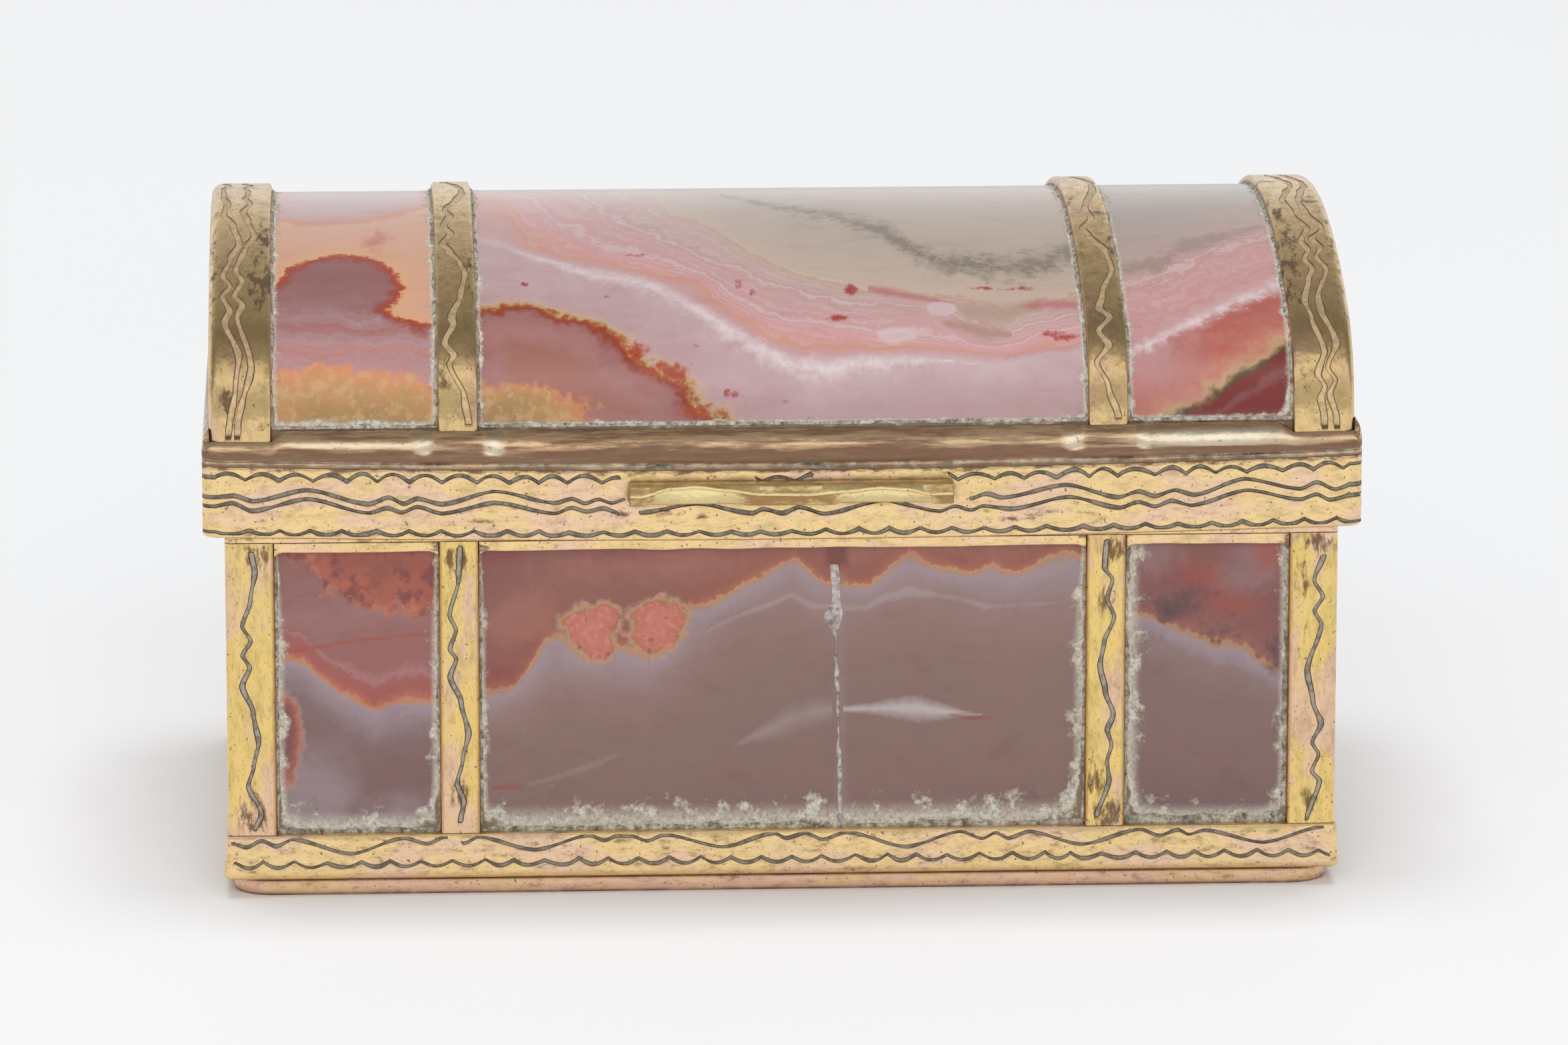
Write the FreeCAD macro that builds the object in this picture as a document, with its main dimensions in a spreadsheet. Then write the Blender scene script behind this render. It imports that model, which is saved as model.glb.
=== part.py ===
"""Agate casket box: stone panels in a cage of gilt brass strips, with a hinged, vaulted lid.

Millimetres. +X runs along the box, -Y is the front, +Z is up, and the origin is the middle of
the foot's underside.
"""
import FreeCAD
import Part
import Sketcher
import math
import os

# Driving dimensions: alias, value, what it measures
SIZES = [
    ("body_length", 67.4, "body over its corner posts, along X"),
    ("body_depth", 42.8, "body over its corner posts, along Y"),
    ("foot_height", 1.0, "foot frame"),
    ("foot_inset", 0.65, "foot behind the face of the posts"),
    ("foot_width", 3.0, "width of the foot frame in plan"),
    ("foot_corner", 2.4, "corner radius of the foot in plan"),
    ("plinth_height", 2.85, "engraved base band"),
    ("plinth_proud", 0.25, "base band in front of the posts"),
    ("plinth_ledge", 0.8, "thickness of the ledge that carries the stone"),
    ("ledge_bearing", 0.9, "ledge under the edge of the floor slab"),
    ("wall_height", 18.7, "from the base band to the top of the rail"),
    ("rail_height", 0.6, "flat frame over posts and panels"),
    ("cage_sheet", 0.5, "thickness of posts and straps"),
    ("post_width", 2.98, "leg of a corner post's angle"),
    ("post_edge", 0.4, "rounding of a post's outer corner"),
    ("strap_width", 2.45, "body strap"),
    ("strap_offset", 19.6, "middle of the box to the middle of a strap"),
    ("strap_web", 0.6, "thickness of a tee strap's web"),
    ("strap_web_depth", 1.6, "depth of a tee strap's web behind its face strip"),
    ("bedding", 0.05, "cement between stone and metal"),
    ("panel_thickness", 2.2, "wall slabs"),
    ("floor_thickness", 2.0, "floor slab"),
    ("crack_position", 3.3, "middle of the box to the old crack at half height"),
    ("crack_lean", 1.2, "lean of the crack, in degrees"),
    ("crack_width", 0.12, "open crack"),
    ("crack_depth", 0.35, "open crack"),
    ("rim_height", 1.8, "lip above the rail"),
    ("rim_sheet", 0.7, "thickness of the lip"),
    ("rim_clearance", 0.25, "between the lip and the lid's flange"),
    ("lid_gap", 0.05, "parting line between rail and lid"),
    ("collar_overhang", 1.3, "collar beyond the face of the posts"),
    ("collar_height", 4.4, "engraved lid rim"),
    ("collar_sheet", 1.0, "wall of the collar"),
    ("collar_flange", 0.8, "thickness of the collar's inner flange"),
    ("collar_bearing", 1.2, "width of the flange that lies on the rail"),
    ("collar_corner", 0.8, "rounding of the collar's upright corners"),
    ("collar_edge", 0.6, "rounding of the collar's lower edge"),
    ("bezel_height", 2.1, "moulding over the collar"),
    ("bezel_lip", 0.35, "straight lower edge of the moulding"),
    ("bezel_ledge", 0.7, "thickness of the ledge under the lid's stone"),
    ("bezel_bearing", 0.4, "ledge inside the lid's stone"),
    ("bezel_top", 0.12, "thickness of the moulding's upper edge"),
    ("bezel_corner", 0.4, "inner corner radius of the moulding"),
    ("lid_overhang", 0.85, "lid bands beyond the face of the posts"),
    ("lid_rise", 10.6, "from the moulding's top to the top of the bands"),
    ("lid_shoulder", 7.0, "radius of the vault's shoulders, over the bands"),
    ("lid_panel_thickness", 2.0, "lid slabs"),
    ("lid_band_width", 3.75, "end band on the vault"),
    ("lid_band_face", 3.0, "end band on the end wall"),
    ("lid_band_edge", 0.8, "rounding of the end band's outer edge"),
    ("lid_strap_width", 2.4, "strap over the vault"),
    ("thumb_length", 19.5, "thumbpiece along X"),
    ("thumb_height", 1.5, "thumbpiece"),
    ("thumb_proud", 1.2, "thumbpiece in front of the collar"),
    ("thumb_offset", 0.4, "thumbpiece right of the middle"),
    ("thumb_drop", 0.95, "collar's top to the thumbpiece's top"),
    ("thumb_round", 0.7, "rounding of the thumbpiece's upper edge"),
    ("scallop_radius", 16.0, "hollow in the thumbpiece, along the bar"),
    ("scallop_depth", 0.62, "hollow at its middle, square to its slope"),
    ("scallop_spacing", 9.4, "between the middles of the two hollows"),
    ("scallop_slope", 40.0, "slope of the hollows from upright, in degrees"),
    ("hinge_length", 46.0, "over all knuckles"),
    ("hinge_offset", 1.35, "hinge axis behind the posts"),
    ("hinge_drop", 1.45, "hinge axis below the top of the rail"),
    ("knuckle_radius", 1.15, "outside of a knuckle"),
    ("knuckle_gap", 0.2, "between neighbouring knuckles"),
    ("leaf_sheet", 0.4, "thickness of both leaves"),
    ("leaf_strip", 1.1, "strip that joins the tabs of the body's leaf"),
    ("leaf_height", 2.4, "lid leaf on the collar"),
    ("leaf_clearance", 0.15, "leaf to the parts that swing past it"),
    ("pin_radius", 0.45, "hinge wire"),
    ("pin_end", 0.2, "wire beyond the last knuckle"),
    ("pin_seat", 0.02, "radial room in the body's knuckles"),
    ("pin_running", 0.05, "radial room in the lid's knuckles"),
]
KNUCKLES = 5

doc = FreeCAD.newDocument("agate_casket")
sheet = doc.addObject("Spreadsheet::Sheet", "Sizes")
for row, (alias, number, note) in enumerate(SIZES, 1):
    sheet.set(f"A{row}", alias)
    sheet.set(f"B{row}", str(number))
    sheet.setAlias(f"B{row}", alias)
    sheet.set(f"C{row}", note)
doc.recompute()

# Places worked out from the sheet, as expressions
HALF_LENGTH = "(Sizes.body_length / 2)"
HALF_DEPTH = "(Sizes.body_depth / 2)"
LEDGE_TOP = "(Sizes.foot_height + Sizes.plinth_ledge)"
PLINTH_TOP = "(Sizes.foot_height + Sizes.plinth_height)"
RAIL_TOP = f"({PLINTH_TOP} + Sizes.wall_height)"
RAIL_BOTTOM = f"({RAIL_TOP} - Sizes.rail_height)"
STONE_FACE = "(Sizes.cage_sheet + Sizes.bedding)"
STONE_BACK = f"({STONE_FACE} + Sizes.panel_thickness)"
COLLAR_BOTTOM = f"({RAIL_TOP} + Sizes.lid_gap)"
COLLAR_TOP = f"({COLLAR_BOTTOM} + Sizes.collar_height)"
SPRING = f"({COLLAR_TOP} + Sizes.bezel_height)"
LID_LEG = "(Sizes.bezel_height - Sizes.bezel_ledge)"
LID_HALF_LENGTH = f"({HALF_LENGTH} + Sizes.lid_overhang)"
LID_HALF_DEPTH = f"({HALF_DEPTH} + Sizes.lid_overhang)"
LID_STONE_BACK = f"({STONE_FACE} + Sizes.lid_panel_thickness)"
WEB_EDGE = "(Sizes.strap_web / 2 + Sizes.bedding)"
HINGE_Y = f"({HALF_DEPTH} + Sizes.hinge_offset)"
HINGE_Z = f"({RAIL_TOP} - Sizes.hinge_drop)"
PITCH = f"(Sizes.hinge_length / {KNUCKLES})"

nodes = {}


def value(expression):
    """Number that an expression on the sheet gives."""
    return float(sheet.evalExpression(expression))


def keep(obj, name):
    """Name a finished piece."""
    obj.Label = name
    nodes[name] = obj
    return obj


def place(obj, x="0", y="0", z="0", rotation=None):
    """Put an object at a point given by expressions, turned by a fixed rotation."""
    if rotation:
        obj.Placement = FreeCAD.Placement(FreeCAD.Vector(), rotation)
    for axis, expression in zip("xyz", (x, y, z)):
        obj.setExpression(f"Placement.Base.{axis}", expression)
    return obj


def turn_z(degrees):
    """Rotation about the upright axis."""
    return FreeCAD.Rotation(FreeCAD.Vector(0, 0, 1), degrees)


def box(name, low, high):
    """Block between two corners."""
    block = doc.addObject("Part::Box", name)
    for side, start, end in zip(("Length", "Width", "Height"), low, high):
        block.setExpression(side, f"({end}) - ({start})")
    return place(block, *low)


def rod(name, radius, length, x):
    """Cylinder on the hinge axis, from x towards +X."""
    cylinder = doc.addObject("Part::Cylinder", name)
    cylinder.setExpression("Radius", radius)
    cylinder.setExpression("Height", length)
    along_x = FreeCAD.Rotation(FreeCAD.Vector(0, 1, 0), 90)
    return place(cylinder, x, HINGE_Y, HINGE_Z, along_x)


def fuse(name, shapes):
    """One piece from several blocks."""
    union = doc.addObject("Part::MultiFuse", name)
    union.Shapes = shapes
    union.Refine = True
    return union


def cut(name, base, tool):
    """Base with the tool taken away."""
    result = doc.addObject("Part::Cut", name)
    result.Base = base
    result.Tool = tool
    return result


def new_body(name):
    """Empty body for one piece."""
    return keep(doc.addObject("PartDesign::Body", name), name)


def new_sketch(body, name, role, lift="0", rise="0"):
    """Sketch on one of the body's own planes, lifted off it and raised along it."""
    plane = next(item for item in body.Origin.OriginFeatures if item.Role == role)
    sketch = body.newObject("Sketcher::SketchObject", name)
    sketch.AttachmentSupport = [(plane, "")]
    sketch.MapMode = "FlatFace"
    sketch.setExpression("AttachmentOffset.Base.y", rise)
    sketch.setExpression("AttachmentOffset.Base.z", lift)
    return sketch


def bound(sketch, name, expression, kind, *where):
    """Dimension in a sketch, bound to the sheet."""
    index = sketch.addConstraint(Sketcher.Constraint(kind, *where, value(expression)))
    sketch.renameConstraint(index, name)
    sketch.setExpression(f"Constraints.{name}", expression)


def add_polygon(sketch, tag, points):
    """Closed outline whose corners are pairs of expressions."""
    corners = [FreeCAD.Vector(value(x), value(y), 0) for x, y in points]
    first = sketch.GeometryCount
    count = len(corners)
    for index in range(count):
        sketch.addGeometry(Part.LineSegment(corners[index], corners[(index + 1) % count]))
    for index in range(count):
        following = first + (index + 1) % count
        sketch.addConstraint(Sketcher.Constraint("Coincident", first + index, 2, following, 1))
    for index, (x, y) in enumerate(points):
        bound(sketch, f"{tag}_x{index}", x, "DistanceX", -1, 1, first + index, 1)
        bound(sketch, f"{tag}_y{index}", y, "DistanceY", -1, 1, first + index, 1)


def add_rectangle(sketch, tag, half_x, half_y):
    """Rectangle about the sketch's origin."""
    corners = [(f"-({half_x})", f"-({half_y})"), (half_x, f"-({half_y})"),
               (half_x, half_y), (f"-({half_x})", half_y)]
    add_polygon(sketch, tag, corners)


def pad(body, sketch, name, length):
    """Solid raised from a sketch."""
    feature = body.newObject("PartDesign::Pad", name)
    feature.Profile = sketch
    feature.setExpression("Length", length)
    doc.recompute()
    return feature


def frame_pad(body, name, outer, inner, bottom, height):
    """Rectangular frame; outer and inner are how far its sides lie beyond the posts' faces."""
    sketch = new_sketch(body, f"{name}_plan", "XY_Plane", bottom)
    for tag, reach in (("outer", outer), ("inner", inner)):
        add_rectangle(sketch, tag, f"{HALF_LENGTH} + {reach}", f"{HALF_DEPTH} + {reach}")
    return pad(body, sketch, name, height)


def round_edges(body, feature, name, radius, chosen):
    """Fillet on the edges whose ends pass the test."""
    edges = []
    for number, edge in enumerate(feature.Shape.Edges, 1):
        if chosen([vertex.Point for vertex in edge.Vertexes]):
            edges.append(f"Edge{number}")
    fillet = body.newObject("PartDesign::Fillet", name)
    fillet.Base = (feature, edges)
    fillet.setExpression("Radius", radius)
    doc.recompute()
    return fillet


def near(first, second):
    """Whether two places are the same."""
    return abs(first - second) < Part.Precision.approximation()


def at_corner(reach):
    """Test for the upright corner edges of a frame."""
    half_x = value(f"{HALF_LENGTH} + {reach}")
    half_y = value(f"{HALF_DEPTH} + {reach}")

    def corner(ends):
        upright = not near(ends[0].z, ends[-1].z)
        return upright and all(near(abs(end.x), half_x) and near(abs(end.y), half_y) for end in ends)

    return corner


def add_arch(sketch, tag, inset):
    """Open arch of legs, shoulders and a crown in two halves, set inside the bands' outer face.

    The sketch's origin is the middle of the spring line. Returns the first and last line.
    """
    half_text = f"{LID_HALF_DEPTH} - {inset}"
    rise_text = f"(Sizes.lid_rise - {inset})"
    shoulder_text = f"(Sizes.lid_shoulder - {inset})"
    crown_text = (f"((({half_text}) - {shoulder_text})^2 + {rise_text}^2 - {shoulder_text}^2)"
                  f" / (2 * ({rise_text} - {shoulder_text}))")
    half, rise, shoulder = value(half_text), value(rise_text), value(shoulder_text)
    crown, leg = value(crown_text), value(LID_LEG)
    turn = math.atan2(crown - rise, half - shoulder)
    up = FreeCAD.Vector(0, 0, 1)

    def arc(x, y, radius, start, end):
        circle = Part.Circle(FreeCAD.Vector(x, y, 0), up, radius)
        return sketch.addGeometry(Part.ArcOfCircle(circle, start, end))

    def line(x, start, end):
        return sketch.addGeometry(Part.LineSegment(FreeCAD.Vector(x, start, 0), FreeCAD.Vector(x, end, 0)))

    right_leg = line(half, -leg, 0)
    right = arc(half - shoulder, 0, shoulder, 0, turn)
    right_crown = arc(0, rise - crown, crown, turn, math.pi / 2)
    left_crown = arc(0, rise - crown, crown, math.pi / 2, math.pi - turn)
    left = arc(shoulder - half, 0, shoulder, math.pi - turn, math.pi)
    left_leg = line(-half, 0, -leg)
    path = (right_leg, right, right_crown, left_crown, left, left_leg)
    for before, after in zip(path, path[1:]):
        sketch.addConstraint(Sketcher.Constraint("Tangent", before, 2, after, 1))
    for item in (right_leg, left_leg):
        sketch.addConstraint(Sketcher.Constraint("Vertical", item))
    for item in (right, left):
        sketch.addConstraint(Sketcher.Constraint("PointOnObject", item, 3, -1))
    sketch.addConstraint(Sketcher.Constraint("Equal", right, left))
    sketch.addConstraint(Sketcher.Constraint("Equal", right_crown, left_crown))
    sketch.addConstraint(Sketcher.Constraint("PointOnObject", right_crown, 2, -2))
    sketch.addConstraint(Sketcher.Constraint("Symmetric", right_leg, 1, left_leg, 2, -2))
    bound(sketch, f"{tag}_half", half_text, "DistanceX", -1, 1, right_leg, 1)
    bound(sketch, f"{tag}_leg", LID_LEG, "DistanceY", right_leg, 1, right_leg, 2)
    bound(sketch, f"{tag}_shoulder", shoulder_text, "Radius", right)
    bound(sketch, f"{tag}_crown", crown_text, "Radius", right_crown)
    return right_leg, left_leg


def join(sketch, first, first_end, second, second_end):
    """Straight line between two line ends."""
    ends = [sketch.getPoint(first, first_end), sketch.getPoint(second, second_end)]
    bridge = sketch.addGeometry(Part.LineSegment(*ends))
    sketch.addConstraint(Sketcher.Constraint("Coincident", bridge, 1, first, first_end))
    sketch.addConstraint(Sketcher.Constraint("Coincident", bridge, 2, second, second_end))


def vault_pad(body, name, outside, inside, start, length):
    """Length of vault between two insets, from start towards +X."""
    sketch = new_sketch(body, f"{name}_section", "YZ_Plane", start, SPRING)
    outer_right, outer_left = add_arch(sketch, "outside", outside)
    inner_right, inner_left = add_arch(sketch, "inside", inside)
    join(sketch, outer_right, 1, inner_right, 1)
    join(sketch, outer_left, 2, inner_left, 2)
    return pad(body, sketch, name, length)


def foot_rim():
    """Foot frame that the box stands on."""
    body = new_body("foot_rim")
    ring = frame_pad(body, "foot_ring", "-Sizes.foot_inset", "-Sizes.foot_inset - Sizes.foot_width",
                     "0", "Sizes.foot_height")
    round_edges(body, ring, "foot_corners", "Sizes.foot_corner", at_corner("-Sizes.foot_inset"))


def plinth_band():
    """Base band with the ledge that carries the stone."""
    body = new_body("plinth_band")
    frame_pad(body, "band", "Sizes.plinth_proud", "-Sizes.cage_sheet", "Sizes.foot_height",
              "Sizes.plinth_height")
    ledge = frame_pad(body, "ledge", "-Sizes.cage_sheet / 2", f"-{STONE_BACK} - Sizes.ledge_bearing",
                      "Sizes.foot_height", "Sizes.plinth_ledge")
    round_edges(body, ledge, "band_corners", "Sizes.post_edge", at_corner("Sizes.plinth_proud"))


def corner_posts():
    """Four angle strips."""
    corners = (("front_left", -1, -1, 0), ("front_right", 1, -1, 90),
               ("back_right", 1, 1, 180), ("back_left", -1, 1, 270))
    width, sheet_metal = "Sizes.post_width", "Sizes.cage_sheet"
    outline = [("0", "0"), (width, "0"), (width, sheet_metal), (sheet_metal, sheet_metal),
               (sheet_metal, width), ("0", width)]
    for corner, side_x, side_y, angle in corners:
        body = new_body(f"corner_post_{corner}")
        sketch = new_sketch(body, "angle_section", "XY_Plane")
        add_polygon(sketch, "angle", outline)
        angle_strip = pad(body, sketch, "angle_strip", f"{RAIL_BOTTOM} - {PLINTH_TOP}")
        round_edges(body, angle_strip, "angle_edge", "Sizes.post_edge",
                    lambda ends: all(near(end.x, 0) and near(end.y, 0) for end in ends))
        place(body, f"{side_x} * {HALF_LENGTH}", f"{side_y} * {HALF_DEPTH}", PLINTH_TOP, turn_z(angle))


def wall_straps():
    """Tee strips between the front panels and between the back panels."""
    half, web, sheet_metal = "Sizes.strap_width / 2", "Sizes.strap_web / 2", "Sizes.cage_sheet"
    depth = "Sizes.cage_sheet + Sizes.strap_web_depth"
    outline = [(f"-{half}", "0"), (half, "0"), (half, sheet_metal), (web, sheet_metal), (web, depth),
               (f"-{web}", depth), (f"-{web}", sheet_metal), (f"-{half}", sheet_metal)]
    for wall, side_y, angle in (("front", -1, 0), ("back", 1, 180)):
        for side, side_x in (("left", -1), ("right", 1)):
            body = new_body(f"{wall}_strap_{side}")
            sketch = new_sketch(body, "tee_section", "XY_Plane")
            add_polygon(sketch, "tee", outline)
            pad(body, sketch, "tee_strip", f"{RAIL_BOTTOM} - {PLINTH_TOP}")
            place(body, f"{side_x} * Sizes.strap_offset", f"{side_y} * {HALF_DEPTH}", PLINTH_TOP,
                  turn_z(angle))


def wall_panels():
    """Stone slabs of the four walls and the floor."""
    end = f"({HALF_LENGTH} - {STONE_FACE})"
    near_edge = f"(Sizes.strap_offset - {WEB_EDGE})"
    far_edge = f"(Sizes.strap_offset + {WEB_EDGE})"
    top = f"{RAIL_BOTTOM} - Sizes.bedding"
    face, back = f"({HALF_DEPTH} - {STONE_FACE})", f"({HALF_DEPTH} - {STONE_BACK})"
    spans = (("left", f"-{end}", f"-{far_edge}"), ("centre", f"-{near_edge}", near_edge),
             ("right", far_edge, end))
    for wall, low_y, high_y in (("front", f"-{face}", f"-{back}"), ("back", back, face)):
        for side, low_x, high_x in spans:
            name = f"{wall}_panel_{side}"
            slab = box(name, (low_x, low_y, LEDGE_TOP), (high_x, high_y, top))
            if name == "front_panel_centre":
                slab = cracked(slab)
            keep(slab, name)
    half_y = f"({back} - Sizes.bedding)"
    thick = "Sizes.panel_thickness"
    for side, low_x, high_x in (("left", f"-{end}", f"-{end} + {thick}"), ("right", f"{end} - {thick}", end)):
        name = f"end_panel_{side}"
        keep(box(name, (low_x, f"-{half_y}", LEDGE_TOP), (high_x, half_y, top)), name)
    floor_x = f"({HALF_LENGTH} - {STONE_BACK} - Sizes.bedding)"
    floor = box("base_panel", (f"-{floor_x}", f"-{half_y}", LEDGE_TOP),
                (floor_x, half_y, f"{LEDGE_TOP} + Sizes.floor_thickness"))
    keep(floor, "base_panel")


def cracked(slab):
    """Front slab with its old crack, an open line down the face."""
    saw = doc.addObject("Part::Box", "crack_line")
    saw.setExpression("Length", "Sizes.crack_width")
    saw.setExpression("Width", "2 * Sizes.crack_depth")
    saw.setExpression("Height", "2 * Sizes.wall_height")
    place(saw, "Sizes.crack_position + Sizes.wall_height * sin(Sizes.crack_lean)",
          f"-{HALF_DEPTH} + {STONE_FACE} - Sizes.crack_depth", f"{PLINTH_TOP} - Sizes.wall_height / 2")
    saw.setExpression("Placement.Rotation.Axis.y", "-1")
    saw.setExpression("Placement.Rotation.Axis.z", "0")
    saw.setExpression("Placement.Rotation.Angle", "Sizes.crack_lean")
    return cut("cracked_slab", slab, saw)


def top_frames():
    """Rail over the walls, and the lip that the lid closes over."""
    rail = new_body("top_rail")
    ring = frame_pad(rail, "rail_ring", "0", f"-{STONE_BACK}", RAIL_BOTTOM, "Sizes.rail_height")
    round_edges(rail, ring, "rail_corners", "Sizes.post_edge", at_corner("0"))
    lip = new_body("inner_rim")
    reach = "-Sizes.collar_bearing - Sizes.rim_clearance"
    frame_pad(lip, "lip_ring", reach, f"{reach} - Sizes.rim_sheet", RAIL_TOP, "Sizes.rim_height")


def lid_collar():
    """Engraved rim of the lid, with the flange that lies on the rail."""
    body = new_body("lid_collar")
    reach = "Sizes.collar_overhang"
    frame_pad(body, "collar_wall", reach, f"{reach} - Sizes.collar_sheet", COLLAR_BOTTOM,
              "Sizes.collar_height")
    flange = frame_pad(body, "collar_flange", f"{reach} - Sizes.collar_sheet / 2", "-Sizes.collar_bearing",
                       COLLAR_BOTTOM, "Sizes.collar_flange")
    corners = round_edges(body, flange, "collar_corners", "Sizes.collar_corner", at_corner(reach))
    bottom = value(COLLAR_BOTTOM)
    half_x, half_y = value(f"{HALF_LENGTH} + {reach}"), value(f"{HALF_DEPTH} + {reach}")

    def on_lower_edge(end):
        on_face = near(abs(end.x), half_x) or near(abs(end.y), half_y)
        return near(end.z, bottom) and on_face

    round_edges(body, corners, "collar_lower_edge", "Sizes.collar_edge",
                lambda ends: all(on_lower_edge(end) for end in ends))


def lid_bezel():
    """Ovolo moulding round the foot of the vault, with the ledge that carries its stone."""
    body = new_body("lid_bezel")
    reach = "(Sizes.lid_overhang + Sizes.bedding)"
    frame_pad(body, "bezel_ledge", reach, f"Sizes.lid_overhang - {LID_STONE_BACK} - Sizes.bezel_bearing",
              COLLAR_TOP, "Sizes.bezel_ledge")
    half_x, half_y = f"({HALF_LENGTH} + {reach})", f"({HALF_DEPTH} + {reach})"
    path = new_sketch(body, "bezel_path", "XY_Plane", COLLAR_TOP)
    add_rounded_path(path, half_x, half_y, "Sizes.bezel_corner")
    section = new_sketch(body, "bezel_section", "YZ_Plane")
    wide = f"-{HALF_DEPTH} - Sizes.collar_overhang"
    inner = f"-{half_y}"
    narrow = f"{inner} - Sizes.bezel_top"
    add_ovolo(section, inner, wide, narrow)
    pipe = body.newObject("PartDesign::AdditivePipe", "bezel_moulding")
    pipe.Profile = section
    pipe.Spine = (path, [f"Edge{number}" for number in range(1, path.GeometryCount + 1)])
    doc.recompute()


def add_rounded_path(sketch, half_x, half_y, radius):
    """Closed path of lines and corner arcs that starts at the middle of the front."""
    x, y, corner = value(half_x), value(half_y), value(radius)
    stops = [(0, -y), (x - corner, -y), (x, corner - y), (x, y - corner), (x - corner, y),
             (corner - x, y), (-x, y - corner), (-x, corner - y), (corner - x, -y)]
    centres = [(x - corner, corner - y), (x - corner, y - corner), (corner - x, y - corner),
               (corner - x, corner - y)]
    points = [FreeCAD.Vector(*stop, 0) for stop in stops]
    quarter = math.pi / 2
    items = []
    arcs = []
    for side, centre in enumerate(centres):
        items.append(sketch.addGeometry(Part.LineSegment(points[2 * side], points[2 * side + 1])))
        circle = Part.Circle(FreeCAD.Vector(*centre, 0), FreeCAD.Vector(0, 0, 1), corner)
        start = (side - 1) * quarter
        arcs.append(sketch.addGeometry(Part.ArcOfCircle(circle, start, start + quarter)))
        items.append(arcs[-1])
    items.append(sketch.addGeometry(Part.LineSegment(points[-1], points[0])))
    for before, after in zip(items, items[1:]):
        sketch.addConstraint(Sketcher.Constraint("Tangent", before, 2, after, 1))
    sketch.addConstraint(Sketcher.Constraint("Coincident", items[-1], 2, items[0], 1))
    for index in (0, 4):
        sketch.addConstraint(Sketcher.Constraint("Horizontal", items[index]))
    for index in (2, 6):
        sketch.addConstraint(Sketcher.Constraint("Vertical", items[index]))
    sketch.addConstraint(Sketcher.Constraint("Horizontal", items[8]))
    for item in arcs[1:]:
        sketch.addConstraint(Sketcher.Constraint("Equal", arcs[0], item))
    sketch.addConstraint(Sketcher.Constraint("PointOnObject", items[0], 1, -2))
    bound(sketch, "corner", radius, "Radius", arcs[0])
    bound(sketch, "front", half_y, "DistanceY", items[0], 1, -1, 1)
    bound(sketch, "back", half_y, "DistanceY", -1, 1, items[4], 1)
    bound(sketch, "right", half_x, "DistanceX", -1, 1, items[2], 1)
    bound(sketch, "left", half_x, "DistanceX", items[6], 1, -1, 1)


def add_ovolo(sketch, inner, wide, narrow):
    """Section of the moulding: a straight lip, then a curve that leans in to a thin upper edge."""
    lip = f"{COLLAR_TOP} + Sizes.bezel_lip"
    corners = [(inner, COLLAR_TOP), (wide, COLLAR_TOP), (wide, lip), (narrow, SPRING), (inner, SPRING)]
    points = [FreeCAD.Vector(value(y), value(z), 0) for y, z in corners]
    start, end = points[2], points[3]
    across, up = end.x - start.x, end.y - start.y
    radius = (across ** 2 + up ** 2) / (2 * across)
    bend = math.asin(up / radius)
    centre = FreeCAD.Vector(start.x + radius, start.y, 0)
    circle = Part.Circle(centre, FreeCAD.Vector(0, 0, 1), radius)
    under = sketch.addGeometry(Part.LineSegment(points[0], points[1]))
    front = sketch.addGeometry(Part.LineSegment(points[1], points[2]))
    curve = sketch.addGeometry(Part.ArcOfCircle(circle, math.pi - bend, math.pi))
    top = sketch.addGeometry(Part.LineSegment(points[3], points[4]))
    back = sketch.addGeometry(Part.LineSegment(points[4], points[0]))
    joints = ((under, 2, front, 1), (curve, 1, top, 1), (top, 2, back, 1), (back, 2, under, 1))
    for joint in joints:
        sketch.addConstraint(Sketcher.Constraint("Coincident", *joint))
    sketch.addConstraint(Sketcher.Constraint("Tangent", front, 2, curve, 2))
    places = (("foot", under, 1), ("face", front, 1), ("lip", curve, 2), ("edge", top, 1), ("back", back, 1))
    for (tag, item, which), (y, z) in zip(places, corners):
        bound(sketch, f"{tag}_y", y, "DistanceX", -1, 1, item, which)
        bound(sketch, f"{tag}_z", z, "DistanceY", -1, 1, item, which)


def lid_vault():
    """Stone slabs, end walls, end bands and straps of the vaulted lid."""
    stone_end = f"({LID_HALF_LENGTH} - {STONE_FACE})"
    near_edge = f"(Sizes.strap_offset - {WEB_EDGE})"
    far_edge = f"(Sizes.strap_offset + {WEB_EDGE})"
    spans = (("left", f"-{stone_end}", f"-{far_edge}"), ("centre", f"-{near_edge}", near_edge),
             ("right", far_edge, stone_end))
    for side, low, high in spans:
        body = new_body(f"lid_panel_{side}")
        vault_pad(body, "slab", STONE_FACE, LID_STONE_BACK, low, f"{high} - ({low})")
    thick = "Sizes.lid_panel_thickness"
    end_starts = (("left", f"-{stone_end}"), ("right", f"{stone_end} - {thick}"))
    for side, start in end_starts:
        body = new_body(f"lid_end_panel_{side}")
        sketch = new_sketch(body, "end_section", "YZ_Plane", start, SPRING)
        right, left = add_arch(sketch, "end", f"({LID_STONE_BACK} + Sizes.bedding)")
        join(sketch, left, 2, right, 1)
        pad(body, sketch, "end_slab", thick)
    lid_end_bands()
    web_back = "(Sizes.cage_sheet + Sizes.strap_web_depth)"
    for side, side_x in (("left", -1), ("right", 1)):
        body = new_body(f"lid_strap_{side}")
        middle = f"{side_x} * Sizes.strap_offset"
        vault_pad(body, "strap", "0", "Sizes.cage_sheet", f"{middle} - Sizes.lid_strap_width / 2",
                  "Sizes.lid_strap_width")
        vault_pad(body, "web", "Sizes.cage_sheet / 2", web_back, f"{middle} - Sizes.strap_web / 2",
                  "Sizes.strap_web")


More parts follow.
